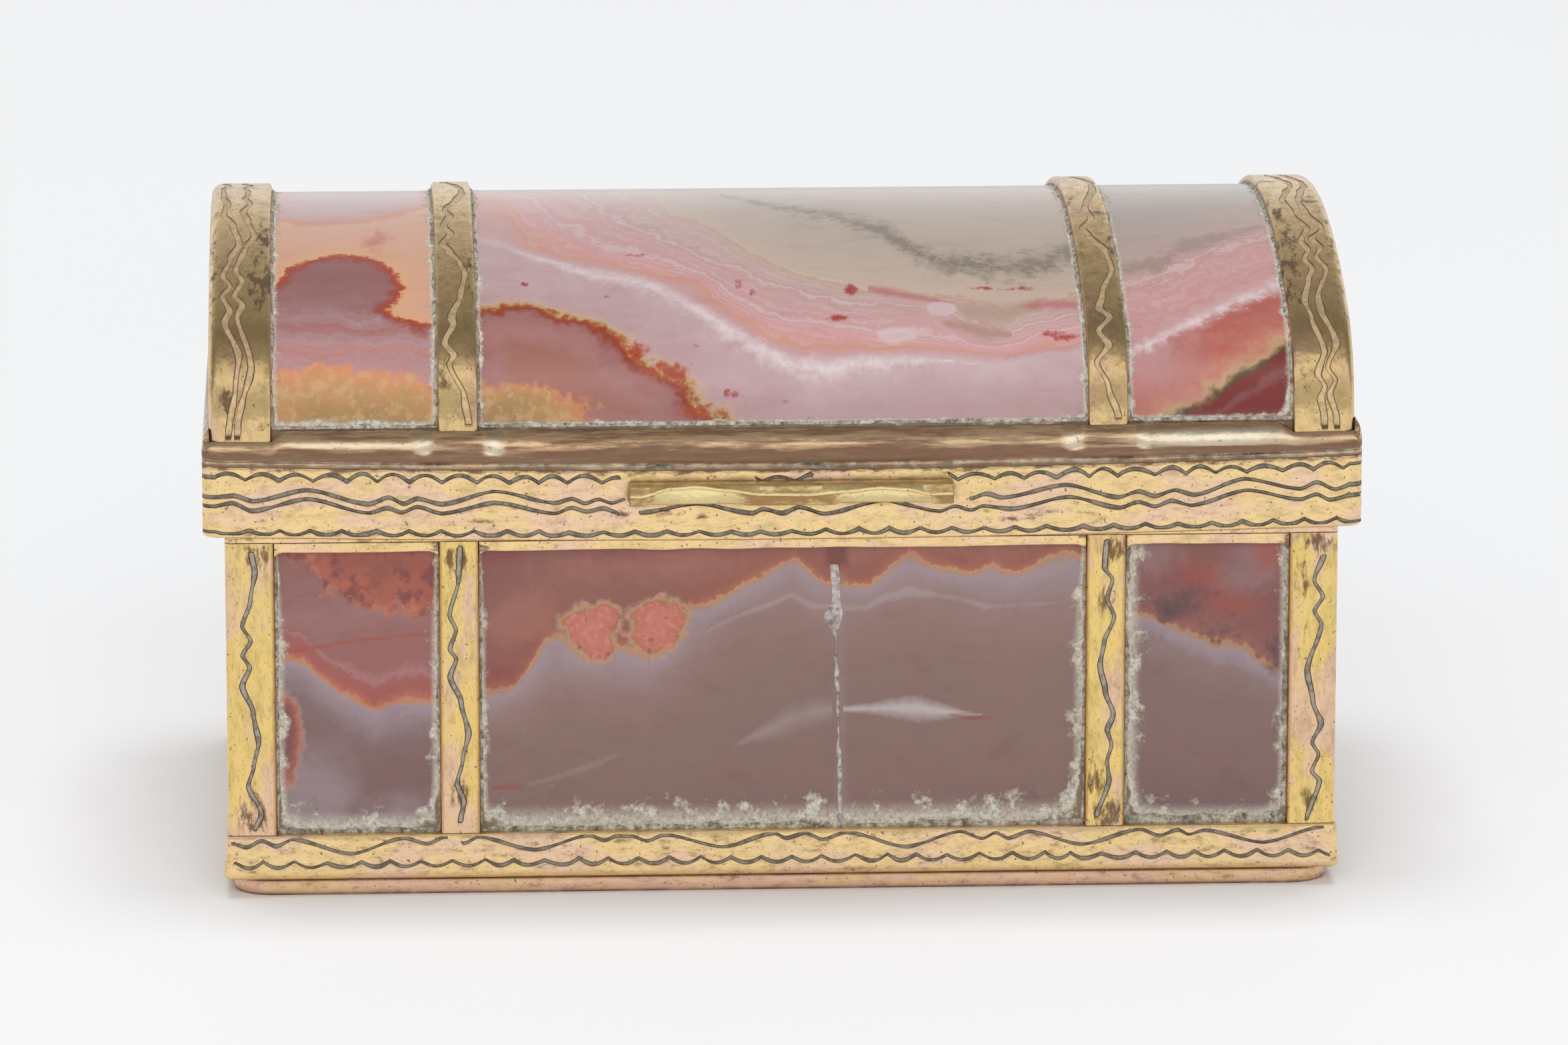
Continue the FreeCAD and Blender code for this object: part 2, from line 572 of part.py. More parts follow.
def lid_end_bands():
    """Angle strips bent over the ends of the vault."""
    end = LID_HALF_LENGTH
    starts = (("left", -1, f"-{end}", f"-{end}"),
              ("right", 1, f"{end} - Sizes.lid_band_width", f"{end} - Sizes.cage_sheet"))
    for side, sign, band_start, face_start in starts:
        body = new_body(f"lid_end_band_{side}")
        vault_pad(body, "band", "0", "Sizes.cage_sheet", band_start, "Sizes.lid_band_width")
        face = vault_pad(body, "face", "Sizes.cage_sheet / 2", "Sizes.lid_band_face", face_start,
                         "Sizes.cage_sheet")
        round_edges(body, face, "band_edge", "Sizes.lid_band_edge", on_vault_line(sign * value(end)))


def on_vault_line(end_x):
    """Test for the edges of the vault's outer line at one end: its legs, shoulders and crown."""
    half, spring = value(LID_HALF_DEPTH), value(SPRING)
    rise, shoulder = value("Sizes.lid_rise"), value("Sizes.lid_shoulder")
    crown = ((half - shoulder) ** 2 + rise ** 2 - shoulder ** 2) / (2 * (rise - shoulder))
    below = rise - crown

    def on_line(end):
        height = end.z - spring
        on_leg = near(abs(end.y), half) and height < shoulder
        on_crown = near(math.hypot(end.y, height - below), crown)
        return near(end.x, end_x) and (on_leg or on_crown)

    def along(ends):
        flat = near(ends[0].z, ends[-1].z) and near(abs(ends[0].y), half)
        return all(on_line(end) for end in ends) and not flat

    return along


def thumbpiece():
    """Bar on the collar's front, rounded above, with two long hollows below for the thumb."""
    blank = doc.addObject("PartDesign::Body", "thumb_blank")
    start = "Sizes.thumb_offset - Sizes.thumb_length / 2"
    sketch = new_sketch(blank, "thumb_section", "YZ_Plane", start)
    seat = f"-{HALF_DEPTH} - Sizes.collar_overhang"
    front = f"{seat} - Sizes.thumb_proud"
    top = f"{COLLAR_TOP} - Sizes.thumb_drop"
    bottom = f"{top} - Sizes.thumb_height"
    add_polygon(sketch, "bar", [(front, bottom), (seat, bottom), (seat, top), (front, top)])
    bar = pad(blank, sketch, "thumb_bar", "Sizes.thumb_length")
    front_y, top_z = value(front), value(top)
    round_edges(blank, bar, "thumb_upper_edge", "Sizes.thumb_round",
                lambda ends: all(near(end.y, front_y) and near(end.z, top_z) for end in ends))
    hollows = []
    lean = FreeCAD.Rotation(FreeCAD.Vector(1, 0, 0), value("Sizes.scallop_slope"))
    reach = "(Sizes.scallop_radius - Sizes.scallop_depth)"
    sine, cosine = "sin(Sizes.scallop_slope)", "cos(Sizes.scallop_slope)"
    for side, sign in (("left", -1), ("right", 1)):
        hollow = doc.addObject("Part::Cylinder", f"thumb_hollow_{side}")
        hollow.setExpression("Radius", "Sizes.scallop_radius")
        hollow.setExpression("Height", "4 * Sizes.thumb_height")
        place(hollow, f"Sizes.thumb_offset + {sign} * Sizes.scallop_spacing / 2",
              f"{front} - {reach} * {cosine} + 2 * Sizes.thumb_height * {sine}",
              f"{bottom} - {reach} * {sine} - 2 * Sizes.thumb_height * {cosine}", lean)
        hollows.append(hollow)
    keep(cut("thumb_bar_hollowed", blank, fuse("thumb_hollows", hollows)), "thumbpiece")


def hinge():
    """Two leaves with their knuckles, and the wire that joins them."""
    start = "(-Sizes.hinge_length / 2)"
    strip_top = f"({HINGE_Z} - Sizes.knuckle_radius - Sizes.leaf_clearance)"
    strip_bottom = f"({strip_top} - Sizes.leaf_strip)"
    body_back, collar_back = HALF_DEPTH, f"({HALF_DEPTH} + Sizes.collar_overhang)"
    leaf_bottom = f"({COLLAR_BOTTOM} + Sizes.collar_edge)"
    body_parts = [box("body_leaf_strip", (start, body_back, strip_bottom),
                      ("Sizes.hinge_length / 2", f"{body_back} + Sizes.leaf_sheet", strip_top))]
    lid_parts = [box("lid_leaf_strip", (start, collar_back, leaf_bottom),
                     ("Sizes.hinge_length / 2", f"{collar_back} + Sizes.leaf_sheet",
                      f"{leaf_bottom} + Sizes.leaf_height"))]
    for index in range(KNUCKLES):
        low = f"({start} + {index} * {PITCH} + Sizes.knuckle_gap / 2)"
        length = f"({PITCH} - Sizes.knuckle_gap)"
        knuckle = rod(f"knuckle_{index + 1}", "Sizes.knuckle_radius", length, low)
        if index % 2 == 0:
            tab = box(f"body_tab_{index + 1}", (low, body_back, strip_bottom),
                      (f"{low} + {length}", f"{body_back} + Sizes.leaf_sheet",
                       f"{RAIL_TOP} - Sizes.leaf_clearance"))
            body_parts += [knuckle, tab]
        else:
            tab = box(f"lid_tab_{index + 1}", (low, collar_back, HINGE_Z),
                      (f"{low} + {length}", f"{collar_back} + Sizes.leaf_sheet",
                       f"{leaf_bottom} + Sizes.leaf_strip"))
            lid_parts += [knuckle, tab]
    for name, parts, room in (("hinge_leaf_body", body_parts, "Sizes.pin_seat"),
                              ("hinge_leaf_lid", lid_parts, "Sizes.pin_running")):
        bore = rod(f"{name}_bore", f"Sizes.pin_radius + {room}", "2 * Sizes.hinge_length", f"2 * {start}")
        keep(cut(f"{name}_bored", fuse(f"{name}_blank", parts), bore), name)
    pin = rod("hinge_wire", "Sizes.pin_radius", "Sizes.hinge_length + 2 * Sizes.pin_end",
              f"{start} - Sizes.pin_end")
    keep(pin, "hinge_pin")


def write_parts():
    """Check every piece and write its file."""
    doc.recompute()
    failed = [obj.Label for obj in doc.Objects if {"Invalid", "Error"} & set(obj.State)]
    if failed:
        raise RuntimeError(f"failed objects: {failed}")
    for name, obj in nodes.items():
        if obj.Shape.isNull() or not obj.Shape.isValid():
            raise RuntimeError(f"{name} has no valid shape")
    os.makedirs("parts", exist_ok=True)
    for name, obj in nodes.items():
        obj.Shape.exportStep(f"parts/{name}.step")
        print(f"{name}: {len(obj.Shape.Solids)} solid, {obj.Shape.Volume:.2f} mm3")


foot_rim()
plinth_band()
corner_posts()
wall_straps()
wall_panels()
top_frames()
lid_collar()
lid_bezel()
lid_vault()
thumbpiece()
hinge()
write_parts()
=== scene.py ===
"""Looks of the agate casket: engraved gilt strips, banded stone, cement, camera and studio light.

Sizes are millimetres in the casket's own frame: +X along the box, -Y its front, +Z up. Meshes are
scaled to metres when they are made.
"""

import logging
import math
from dataclasses import dataclass
from enum import Enum
from typing import Callable, Optional, Sequence, Union

import bpy
import numpy as np
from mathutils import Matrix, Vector

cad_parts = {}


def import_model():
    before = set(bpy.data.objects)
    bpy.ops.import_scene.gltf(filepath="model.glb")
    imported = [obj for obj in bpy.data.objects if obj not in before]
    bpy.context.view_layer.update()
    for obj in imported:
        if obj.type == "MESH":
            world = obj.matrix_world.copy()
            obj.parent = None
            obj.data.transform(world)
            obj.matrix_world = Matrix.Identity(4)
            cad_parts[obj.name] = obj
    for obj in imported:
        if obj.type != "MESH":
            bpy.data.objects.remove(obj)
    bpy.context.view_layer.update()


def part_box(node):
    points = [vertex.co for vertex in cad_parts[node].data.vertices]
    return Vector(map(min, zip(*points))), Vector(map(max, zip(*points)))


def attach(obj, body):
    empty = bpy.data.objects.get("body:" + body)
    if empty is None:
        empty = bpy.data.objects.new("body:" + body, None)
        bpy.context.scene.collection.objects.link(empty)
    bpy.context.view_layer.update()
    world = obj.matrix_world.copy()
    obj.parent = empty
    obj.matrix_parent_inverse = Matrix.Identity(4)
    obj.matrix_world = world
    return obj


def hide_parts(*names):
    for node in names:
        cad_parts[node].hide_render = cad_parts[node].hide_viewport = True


LOG = logging.getLogger("casket")
MM = 0.001

Tone = tuple[float, float, float]
Point = tuple[float, float]
Colour = tuple[float, float, float, float]
Array = np.ndarray
Socket = bpy.types.NodeSocket
Piece = bpy.types.Object
Material = bpy.types.Material
Number = Union[float, Socket]

# Share of each tint that the stone itself has; the studio light brings the rest.
STONE_GAIN: Tone = (0.82, 0.775, 0.75)
# Lower and upper end of the wall's strips and of the windows between them.
WALL_FOOT, WALL_TOP = 3.85, 21.95
# Outer faces of the wall stone at the front and at the ends, and half the width of an end window.
FRONT_FACE, END_FACE, END_HALF = 20.85, 33.15, 18.42
# Middle of the straps, and the outside and the top of the lid's rim.
STRAP_X, RIM_X, RIM_Y, RIM_TOP = 19.6, 35.0, 22.7, 27.0
# How far the vault's strips and slabs reach below its spring line, and how deep its stone lies.
VAULT_LEG, STONE_DEEP = 1.4, 0.55
# How far the lid's rim sags in the middle of its front, at its top.
RIM_SAG = 0.55


def tone(red: int, green: int, blue: int) -> Colour:
    """Linear colour of a tint given in 0-255 display values.

    Args:
        red: display red.
        green: display green.
        blue: display blue.

    Returns:
        Linear red, green, blue and full alpha.
    """
    linear = []
    for part in (red, green, blue):
        share = part / 255
        linear.append(share / 12.92 if share <= 0.04045 else ((share + 0.055) / 1.055) ** 2.4)
    return (*linear, 1.0)


def hue(red: int, green: int, blue: int) -> Colour:
    """Linear colour of stone that shows as that tint in the studio light."""
    return (*(gain * part for gain, part in zip(STONE_GAIN, tone(red, green, blue))), 1.0)


def stone_stop(value: float, red: int, green: int, blue: int, cover: float = 1.0) -> tuple:
    """Stop of a stone's colour ramp: its value, colour and cover."""
    return value, hue(red, green, blue), cover


def ease(share: Array) -> Array:
    """Share from 0 to 1 that starts and ends softly."""
    return share * share * (3 - 2 * share)


class Tagged(Enum):
    """Choice whose name is part of piece names."""

    @property
    def tag(self) -> str:
        """Name as the pieces have it."""
        return self.name.lower()


class Side(Tagged):
    """Left or right of the casket, as a sign on X."""

    LEFT = -1
    RIGHT = 1


class Wall(Tagged):
    """Front or back of the casket, as a sign on Y."""

    FRONT = -1
    BACK = 1


class Cusp(Enum):
    """Which way the points of a scalloped line look."""

    UP = 1
    DOWN = -1


class Graph:
    """Shorthand for building a node tree."""

    def __init__(self, tree: bpy.types.NodeTree) -> None:
        """Start from an empty tree."""
        self.tree = tree
        tree.nodes.clear()

    def add(self, kind: str, settings: Optional[dict] = None, inputs: Optional[dict] = None) -> bpy.types.Node:
        """Add a node.

        Args:
            kind: node type.
            settings: properties by name.
            inputs: sockets or plain values by input name or number.

        Returns:
            The new node.
        """
        node = self.tree.nodes.new(kind)
        for name, value in (settings or {}).items():
            setattr(node, name, value)
        for key, value in (inputs or {}).items():
            if isinstance(value, Socket):
                self.tree.links.new(value, node.inputs[key])
            else:
                node.inputs[key].default_value = value
        return node

    def place(self) -> Socket:
        """Object coordinates in millimetres."""
        where = self.add("ShaderNodeTexCoord").outputs["Object"]
        return self.stretch(where, (1 / MM, 1 / MM, 1 / MM))

    def stretch(self, where: Socket, scale: Tone) -> Socket:
        """Coordinates scaled along each axis."""
        return self.add("ShaderNodeVectorMath", {"operation": "MULTIPLY"}, {0: where, 1: scale}).outputs[0]

    def math(self, operation: str, first: Number, second: Number = 0.0) -> Socket:
        """Sum, product or other step on two numbers."""
        return self.add("ShaderNodeMath", {"operation": operation}, {0: first, 1: second}).outputs[0]

    def noise(self, where: Socket, scale: float, detail: float = 4.0, rough: float = 0.55,
              swirl: float = 0.0) -> Socket:
        """Cloudy pattern from 0 to 1; scale is in features per millimetre."""
        inputs = {"Vector": where, "Scale": scale, "Detail": detail, "Roughness": rough, "Distortion": swirl}
        return self.add("ShaderNodeTexNoise", None, inputs).outputs[0]

    def span(self, value: Number, low: float, high: float, start: float = 0.0,
             end: float = 1.0) -> Socket:
        """Value mapped from one range to another, held at the ends."""
        inputs = {"Value": value, "From Min": low, "From Max": high, "To Min": start, "To Max": end}
        return self.add("ShaderNodeMapRange", {"interpolation_type": "SMOOTHSTEP"}, inputs).outputs[0]

    def blend(self, share: Number, first: object, second: object, mode: str = "MIX") -> Socket:
        """Mix of two colours."""
        settings = {"data_type": "RGBA", "blend_type": mode}
        return self.add("ShaderNodeMix", settings, {0: share, 6: first, 7: second}).outputs[2]

    def ramp(self, value: Socket, stops: Sequence[tuple]) -> bpy.types.Node:
        """Colour ramp over real values.

        Args:
            value: what the ramp is read at.
            stops: value, colour and, where it isn't 1, cover of each stop, in rising order.

        Returns:
            The ramp node; its outputs are the colour and the cover.
        """
        low, high = stops[0][0], stops[-1][0]
        inputs = {"Value": value, "From Min": low, "From Max": high}
        share = self.add("ShaderNodeMapRange", None, inputs).outputs[0]
        node = self.add("ShaderNodeValToRGB", None, {0: share})
        elements = node.color_ramp.elements
        while len(elements) < len(stops):
            elements.new(1.0)
        for element, stop in zip(elements, stops):
            element.position = (stop[0] - low) / (high - low)
            cover = stop[2] if len(stop) > 2 else 1.0
            element.color = (*stop[1][:3], cover)
        return node

    def attribute(self, name: str) -> Socket:
        """Number stored on the mesh."""
        settings = {"attribute_name": name, "attribute_type": "GEOMETRY"}
        return self.add("ShaderNodeAttribute", settings).outputs["Fac"]

    def surface(self, inputs: dict, height: Optional[Socket] = None, depth: float = 0.0) -> None:
        """Finish with the surface shader, and a relief of that depth in millimetres."""
        shader = self.add("ShaderNodeBsdfPrincipled", None, inputs)
        if height is not None:
            relief = self.add("ShaderNodeBump", None, {"Strength": 1.0, "Distance": depth * MM, "Height": height})
            self.tree.links.new(relief.outputs[0], shader.inputs["Normal"])
        self.add("ShaderNodeOutputMaterial", None, {0: shader.outputs[0]})


def new_material(name: str) -> tuple[Material, Graph]:
    """Empty material and its graph."""
    material = bpy.data.materials.new(name)
    material.use_nodes = True
    return material, Graph(material.node_tree)


@dataclass(frozen=True)
class Gilt:
    """Worn gilding on brass, with tarnish, pits, painted shade in the corners, dark engraved lines, and marked places
    with painted highlights and painted shade.
    """

    name: str
    yellow: Colour
    rosy: Colour
    tarnish: Colour
    tarnished: float
    polish: float
    rosy_share: float = 0.5
    grain: Tone = (0.4, 1.0, 1.0)
    ragged: float = 0.45
    groove_floor: Colour = tone(150, 140, 124)
    groove_edge: Colour = tone(58, 44, 34)
    blackened: float = 0.55
    scuffed: float = 0.2
    # Tint of the painted highlight.
    bright: Colour = tone(255, 244, 218)

    def material(self) -> Material:
        """Build the material."""
        material, graph = new_material(self.name)
        where = graph.place()
        patch = graph.noise(graph.stretch(where, self.grain), 0.5, 4.0, 0.6)
        start = 0.62 - 0.24 * self.rosy_share
        gold = graph.blend(graph.span(patch, start, start + 0.14), self.yellow, self.rosy)
        worn = graph.noise(graph.stretch(where, self.grain), 1.9, 6.0, 0.7)
        gold = graph.blend(graph.span(worn, 0.42, 0.8, 0.0, 0.4), gold, self.tarnish)
        scuff = graph.noise(graph.stretch(where, self.grain), 7.0, 3.0, 0.6)
        gold = graph.blend(graph.span(scuff, 0.5, 0.72, 0.0, self.scuffed), gold, self.tarnish)
        # Painted shade: marked side edges and backs of the strips turn browner, standing in for their darker
        # reflection.
        gold = graph.blend(graph.math("MULTIPLY", graph.attribute("bronze"), 0.85), gold, tone(176, 122, 62))
        # Painted highlight: where marked, the colour is lifted towards the highlight tint.
        gold = graph.blend(graph.math("MULTIPLY", graph.attribute("gleam"), 0.9), gold, self.bright)
        cloud = graph.noise(where, 0.55, 7.0, 0.68, 0.4)
        edge = 0.78 - 0.42 * self.tarnished
        stain = graph.span(cloud, edge, edge + 0.16, 0.0, 0.9)
        pits = graph.span(graph.noise(where, 4.2, 3.0), 0.645, 0.71, 0.0, 0.8)
        # Painted shade, broken up like dirt: corners darken by how occluded they are.
        corner = graph.add("ShaderNodeAmbientOcclusion", {"samples": 6}, {"Distance": 0.8 * MM}).outputs["AO"]
        corner_shade = graph.math("MULTIPLY", graph.span(corner, 0.8, 0.25), graph.span(cloud, 0.2, 0.6, 0.35, 1.0))
        # Marked stains, which on the rim and the moulding also carry painted shade.
        smudge = graph.math("ADD", graph.attribute("smudge"), graph.span(worn, 0.3, 0.7, -self.ragged, self.ragged))
        smudge = graph.span(smudge, 0.15, 0.65, 0.0, 0.85)
        dark = graph.math("MAXIMUM", graph.math("MAXIMUM", stain, pits), graph.math("MAXIMUM", corner_shade, smudge))
        colour = graph.blend(dark, gold, self.tarnish)
        groove = graph.math("MULTIPLY", graph.attribute("groove"), graph.span(cloud, 0.1, 0.5, 0.8, 1.0))
        stops = [(0.0, self.groove_edge, 0.0), (0.1, self.groove_edge, 0.15), (0.24, self.groove_edge, 0.95),
                 (0.44, self.groove_edge, 1.0), (0.68, self.groove_floor, 1.0), (1.0, self.groove_floor, 1.0)]
        cut = graph.ramp(groove, stops)
        black = graph.span(graph.noise(where, 1.6, 5.0, 0.7), 0.44, 0.58, 0.0, self.blackened)
        colour = graph.blend(cut.outputs[1], colour, graph.blend(black, cut.outputs[0], self.groove_edge))
        dull = graph.math("MAXIMUM", dark, graph.math("MULTIPLY", cut.outputs[1], 0.75))
        bloom = graph.noise(graph.stretch(where, (0.5, 1.0, 2.0)), 1.3, 6.0, 0.7)
        green = graph.attribute("verdigris")
        crust = graph.math("MULTIPLY", green, graph.span(bloom, 0.38, 0.56))
        tinge = graph.math("SUBTRACT", graph.noise(where, 1.6, 5.0), graph.span(green, 0.6, 1.0, 0.0, 0.16))
        tint = graph.ramp(tinge, [(0.3, tone(66, 76, 68)), (0.45, tone(120, 124, 112)), (0.56, tone(188, 184, 170)),
                                  (0.7, tone(206, 200, 188))])
        colour = graph.blend(crust, colour, tint.outputs[0])
        dull = graph.math("MAXIMUM", dull, crust)
        metal = graph.math("SUBTRACT", 1.0, graph.math("MULTIPLY", dull, 0.55))
        rough = graph.math("ADD", graph.span(worn, 0.2, 0.8, self.polish - 0.05, self.polish + 0.08),
                           graph.math("MULTIPLY", dull, 0.28))
        dents = graph.math("ADD", graph.noise(where, 0.9, 2.0), graph.math("MULTIPLY", worn, 0.15))
        graph.surface({"Base Color": colour, "Metallic": metal, "Roughness": rough}, dents, 0.06)
        return material


@dataclass(frozen=True)
class Contours:
    """Field drawn as height lines: each line is a value and its points across the panel."""

    lines: tuple

    def value(self, x: Array, t: Array) -> Array:
        """Value at each place, straight between neighbouring lines."""
        heights = np.array([np.interp(x, *zip(*points)) for _, points in self.lines])
        heights = np.maximum.accumulate(heights, axis=0) + 1e-3 * np.arange(len(heights))[:, None, None]
        values = np.array([value for value, _ in self.lines], float)
        result = np.full(x.shape, values[0])
        for index in range(len(values) - 1):
            low, high = heights[index], heights[index + 1]
            share = np.clip((t - low) / (high - low), 0, 1)
            result = np.where(t >= low, values[index] + share * (values[index + 1] - values[index]), result)
        return result


@dataclass(frozen=True)
class Region:
    """Field that is the distance inside the nearest of some outlines, negative outside them."""

    outlines: tuple

    def value(self, x: Array, t: Array) -> Array:
        """Signed distance in millimetres."""
        return np.max([self.inside(outline, x, t) for outline in self.outlines], axis=0)

    def inside(self, outline: tuple, x: Array, t: Array) -> Array:
        """Signed distance to one outline."""
        corners = np.array(outline, float)
        inside = np.zeros(x.shape, bool)
        nearest = np.full(x.shape, 1e9)
        for start, end in zip(corners, np.roll(corners, -1, axis=0)):
            run = end - start
            share = np.clip(((x - start[0]) * run[0] + (t - start[1]) * run[1]) / max(run @ run, 1e-9), 0, 1)
            nearest = np.minimum(nearest, np.hypot(x - start[0] - share * run[0], t - start[1] - share * run[1]))
            crosses = (start[1] > t) != (end[1] > t)
            rise = run[1] if abs(run[1]) > 1e-9 else 1e-9
            inside ^= crosses & (x < start[0] + run[0] * (t - start[1]) / rise)
        return np.where(inside, nearest, -nearest)


@dataclass(frozen=True)
class Blobs:
    """Field of oval spots: place, half width and half height of each."""

    spots: tuple

    def value(self, x: Array, t: Array) -> Array:
        """Rough distance inside the nearest spot, negative outside."""
        best = np.full(x.shape, -1e3)
        for centre_x, centre_t, half_x, half_t in self.spots:
            reach = np.hypot((x - centre_x) / half_x, (t - centre_t) / half_t)
            best = np.maximum(best, (1 - reach) * min(half_x, half_t))
        return best


@dataclass(frozen=True)
class Streak:
    """Field of a wisp along a line: points of x, height and half thickness."""

    course: tuple

    def value(self, x: Array, t: Array) -> Array:
        """1 on the line, 0 at the wisp's edge."""
        along, middle, half = (np.array(part, float) for part in zip(*self.course))
        thick = np.interp(x, along, half, left=1e-3, right=1e-3)
        return 1 - np.abs(t - np.interp(x, along, middle)) / np.maximum(thick, 1e-3)


Field = Union[Contours, Region, Blobs, Streak]


@dataclass(frozen=True)
class Layer:
    """One colouring of a stone: a field, its stops and how far its edges wander.

    A stop is a value of the field, the tint in 0-255 display values and, where it isn't 1, the cover.
    """

    shape: Field
    stops: tuple
    wander: float = 0.15
    fray: float = 0.12
    lines: float = 0.0
    lined: Point = (0.0, 1.0)
    lump: float = 0.0
    mottle: Optional[tuple] = None


@dataclass(frozen=True)
class Crust:
    """How far cement residue creeps from each edge of a panel's window.

    At the sides it thins towards the top over the height fade, unless that is 0.
    """

    left: float = 0.6
    right: float = 0.6
    bottom: float = 1.3
    top: float = 0.2
    fade: float = 0.0


@dataclass(frozen=True)
class Agate:
    """Polished banded stone, coloured in layers, with cement residue along its edges."""

    name: str
    layers: tuple
    crust: Crust = Crust()
    specks: float = 0.0

    def material(self) -> Material:
        """Build the material."""
        material, graph = new_material(self.name)
        where = graph.place()
        drift = graph.noise(where, 0.35, 4.0, 0.55)
        ragged = graph.noise(where, 2.4, 5.0, 0.62)
        lumps = graph.noise(where, 1.0, 3.0, 0.55)
        colour = None
        for number, layer in enumerate(self.layers):
            level = graph.attribute(f"layer_{number}")
            level = graph.math("ADD", level, graph.span(drift, 0.2, 0.8, -2.2 * layer.wander, 2.2 * layer.wander))
            level = graph.math("ADD", level, graph.span(ragged, 0.25, 0.75, -layer.fray, layer.fray))
            if layer.lump:
                level = graph.math("ADD", level, graph.span(lumps, 0.25, 0.75, -layer.lump, layer.lump))
            ramp = graph.ramp(level, [stone_stop(*stop) for stop in layer.stops])
            tint = ramp.outputs[0]
            if layer.mottle:
                spots, share, scale = layer.mottle
                cover = graph.span(graph.noise(where, scale, 5.0, 0.65), 0.48, 0.62, 0.0, share)
                tint = graph.blend(cover, tint, spots)
            colour = tint if colour is None else graph.blend(ramp.outputs[1], colour, tint)
            if layer.lines:
                wave = graph.math("SINE", graph.math("MULTIPLY", level, 21.0))
                fine = graph.math("MULTIPLY", graph.span(wave, -0.2, 1.0), graph.span(drift, 0.35, 0.6, 0.3, 1.0))
                start, end = layer.lined
                fine = graph.math("MULTIPLY", fine, graph.span(level, start, start + 0.3, 0.0, layer.lines))
                fine = graph.math("MULTIPLY", fine, graph.span(level, end, end - 0.4))
                colour = graph.blend(fine, colour, hue(222, 204, 206))
        cloud = graph.noise(graph.stretch(where, (0.35, 1.0, 0.8)), 0.8, 6.0, 0.6, 0.6)
        colour = graph.blend(graph.span(cloud, 0.25, 0.5, 0.18, 0.0), colour, tone(120, 84, 84), "SOFT_LIGHT")
        colour = graph.blend(graph.span(cloud, 0.52, 0.78, 0.0, 0.2), colour, tone(214, 196, 196), "SOFT_LIGHT")
        if self.specks:
            dots = graph.noise(where, 1.7, 3.0, 0.5)
            gate = graph.span(graph.noise(where, 0.22, 2.0), 0.45, 0.6)
            dots = graph.math("MULTIPLY", graph.span(dots, 0.73, 0.77), gate)
            colour = graph.blend(graph.math("MULTIPLY", dots, self.specks), colour, tone(170, 46, 40))
        creep = graph.attribute("crust")
        crumbs = graph.noise(where, 3.4, 6.0, 0.7)
        patches = graph.noise(where, 0.8, 8.0, 0.68)
        cover = graph.math("ADD", creep, graph.span(patches, 0.3, 0.7, -0.7, 0.5))
        dots = graph.math("MULTIPLY", graph.span(crumbs, 0.58, 0.68, 0.0, 0.75), graph.span(cover, -0.3, 0.35))
        haze = graph.math("MAXIMUM", graph.span(cover, 0.15, 0.75, 0.0, 0.9), graph.span(creep, 0.2, 0.9, 0.0, 0.85))
        film = graph.math("MAXIMUM", haze, dots)
        chalk = graph.ramp(crumbs, [(0.34, tone(160, 146, 120)), (0.45, tone(194, 186, 168)),
                                    (0.56, tone(212, 208, 194)), (0.68, tone(230, 228, 218))])
        # Painted shade: the residue turns brown right at the window's edge, beside the raised strips and frames.
        strip_shade = graph.span(graph.math("ADD", creep, graph.span(patches, 0.3, 0.7, -0.2, 0.2)), 0.85, 1.05, 0.0, 0.85)
        chalk = graph.blend(strip_shade, chalk.outputs[0], tone(112, 90, 60))
        colour = graph.blend(film, colour, chalk)
        rough = graph.math("ADD", graph.span(ragged, 0.2, 0.8, 0.13, 0.2), graph.math("MULTIPLY", film, 0.65))
        height = graph.math("ADD", graph.math("MULTIPLY", film, crumbs), graph.math("MULTIPLY", drift, 0.3))
        graph.surface({"Base Color": colour, "Roughness": rough, "Specular IOR Level": 0.5}, height, 0.08)
        return material


@dataclass(frozen=True)
class Mortar:
    """Chalky cement with crumbs and stains."""

    name: str
    stain: Colour
    chalk: Colour
    crumb: Colour

    def material(self) -> Material:
        """Build the material."""
        material, graph = new_material(self.name)
        where = graph.place()
        crumbs = graph.noise(where, 2.6, 7.0, 0.7)
        colour = graph.ramp(crumbs, [(0.34, self.stain), (0.48, self.chalk), (0.62, self.crumb)]).outputs[0]
        green = graph.span(graph.noise(where, 0.5, 3.0), 0.5, 0.66, 0.0, 0.5)
        colour = graph.blend(green, colour, tone(104, 104, 84))
        graph.surface({"Base Color": colour, "Roughness": 0.9}, crumbs, 0.12)
        return material


def deselect() -> None:
    """Leave edit mode and clear the selection."""
    if bpy.context.mode != "OBJECT":
        bpy.ops.object.mode_set(mode="OBJECT")
    bpy.ops.object.select_all(action="DESELECT")


def choose(obj: Piece) -> None:
    """Make a piece the only one selected, and the active one."""
    deselect()
    obj.select_set(True)
    bpy.context.view_layer.objects.active = obj


def store(obj: Piece, name: str, values: Array) -> None:
    """Keep one number per vertex on the mesh."""
    layer = obj.data.attributes.new(name, "FLOAT", "POINT")
    layer.data.foreach_set("value", np.asarray(values, np.float32).ravel())


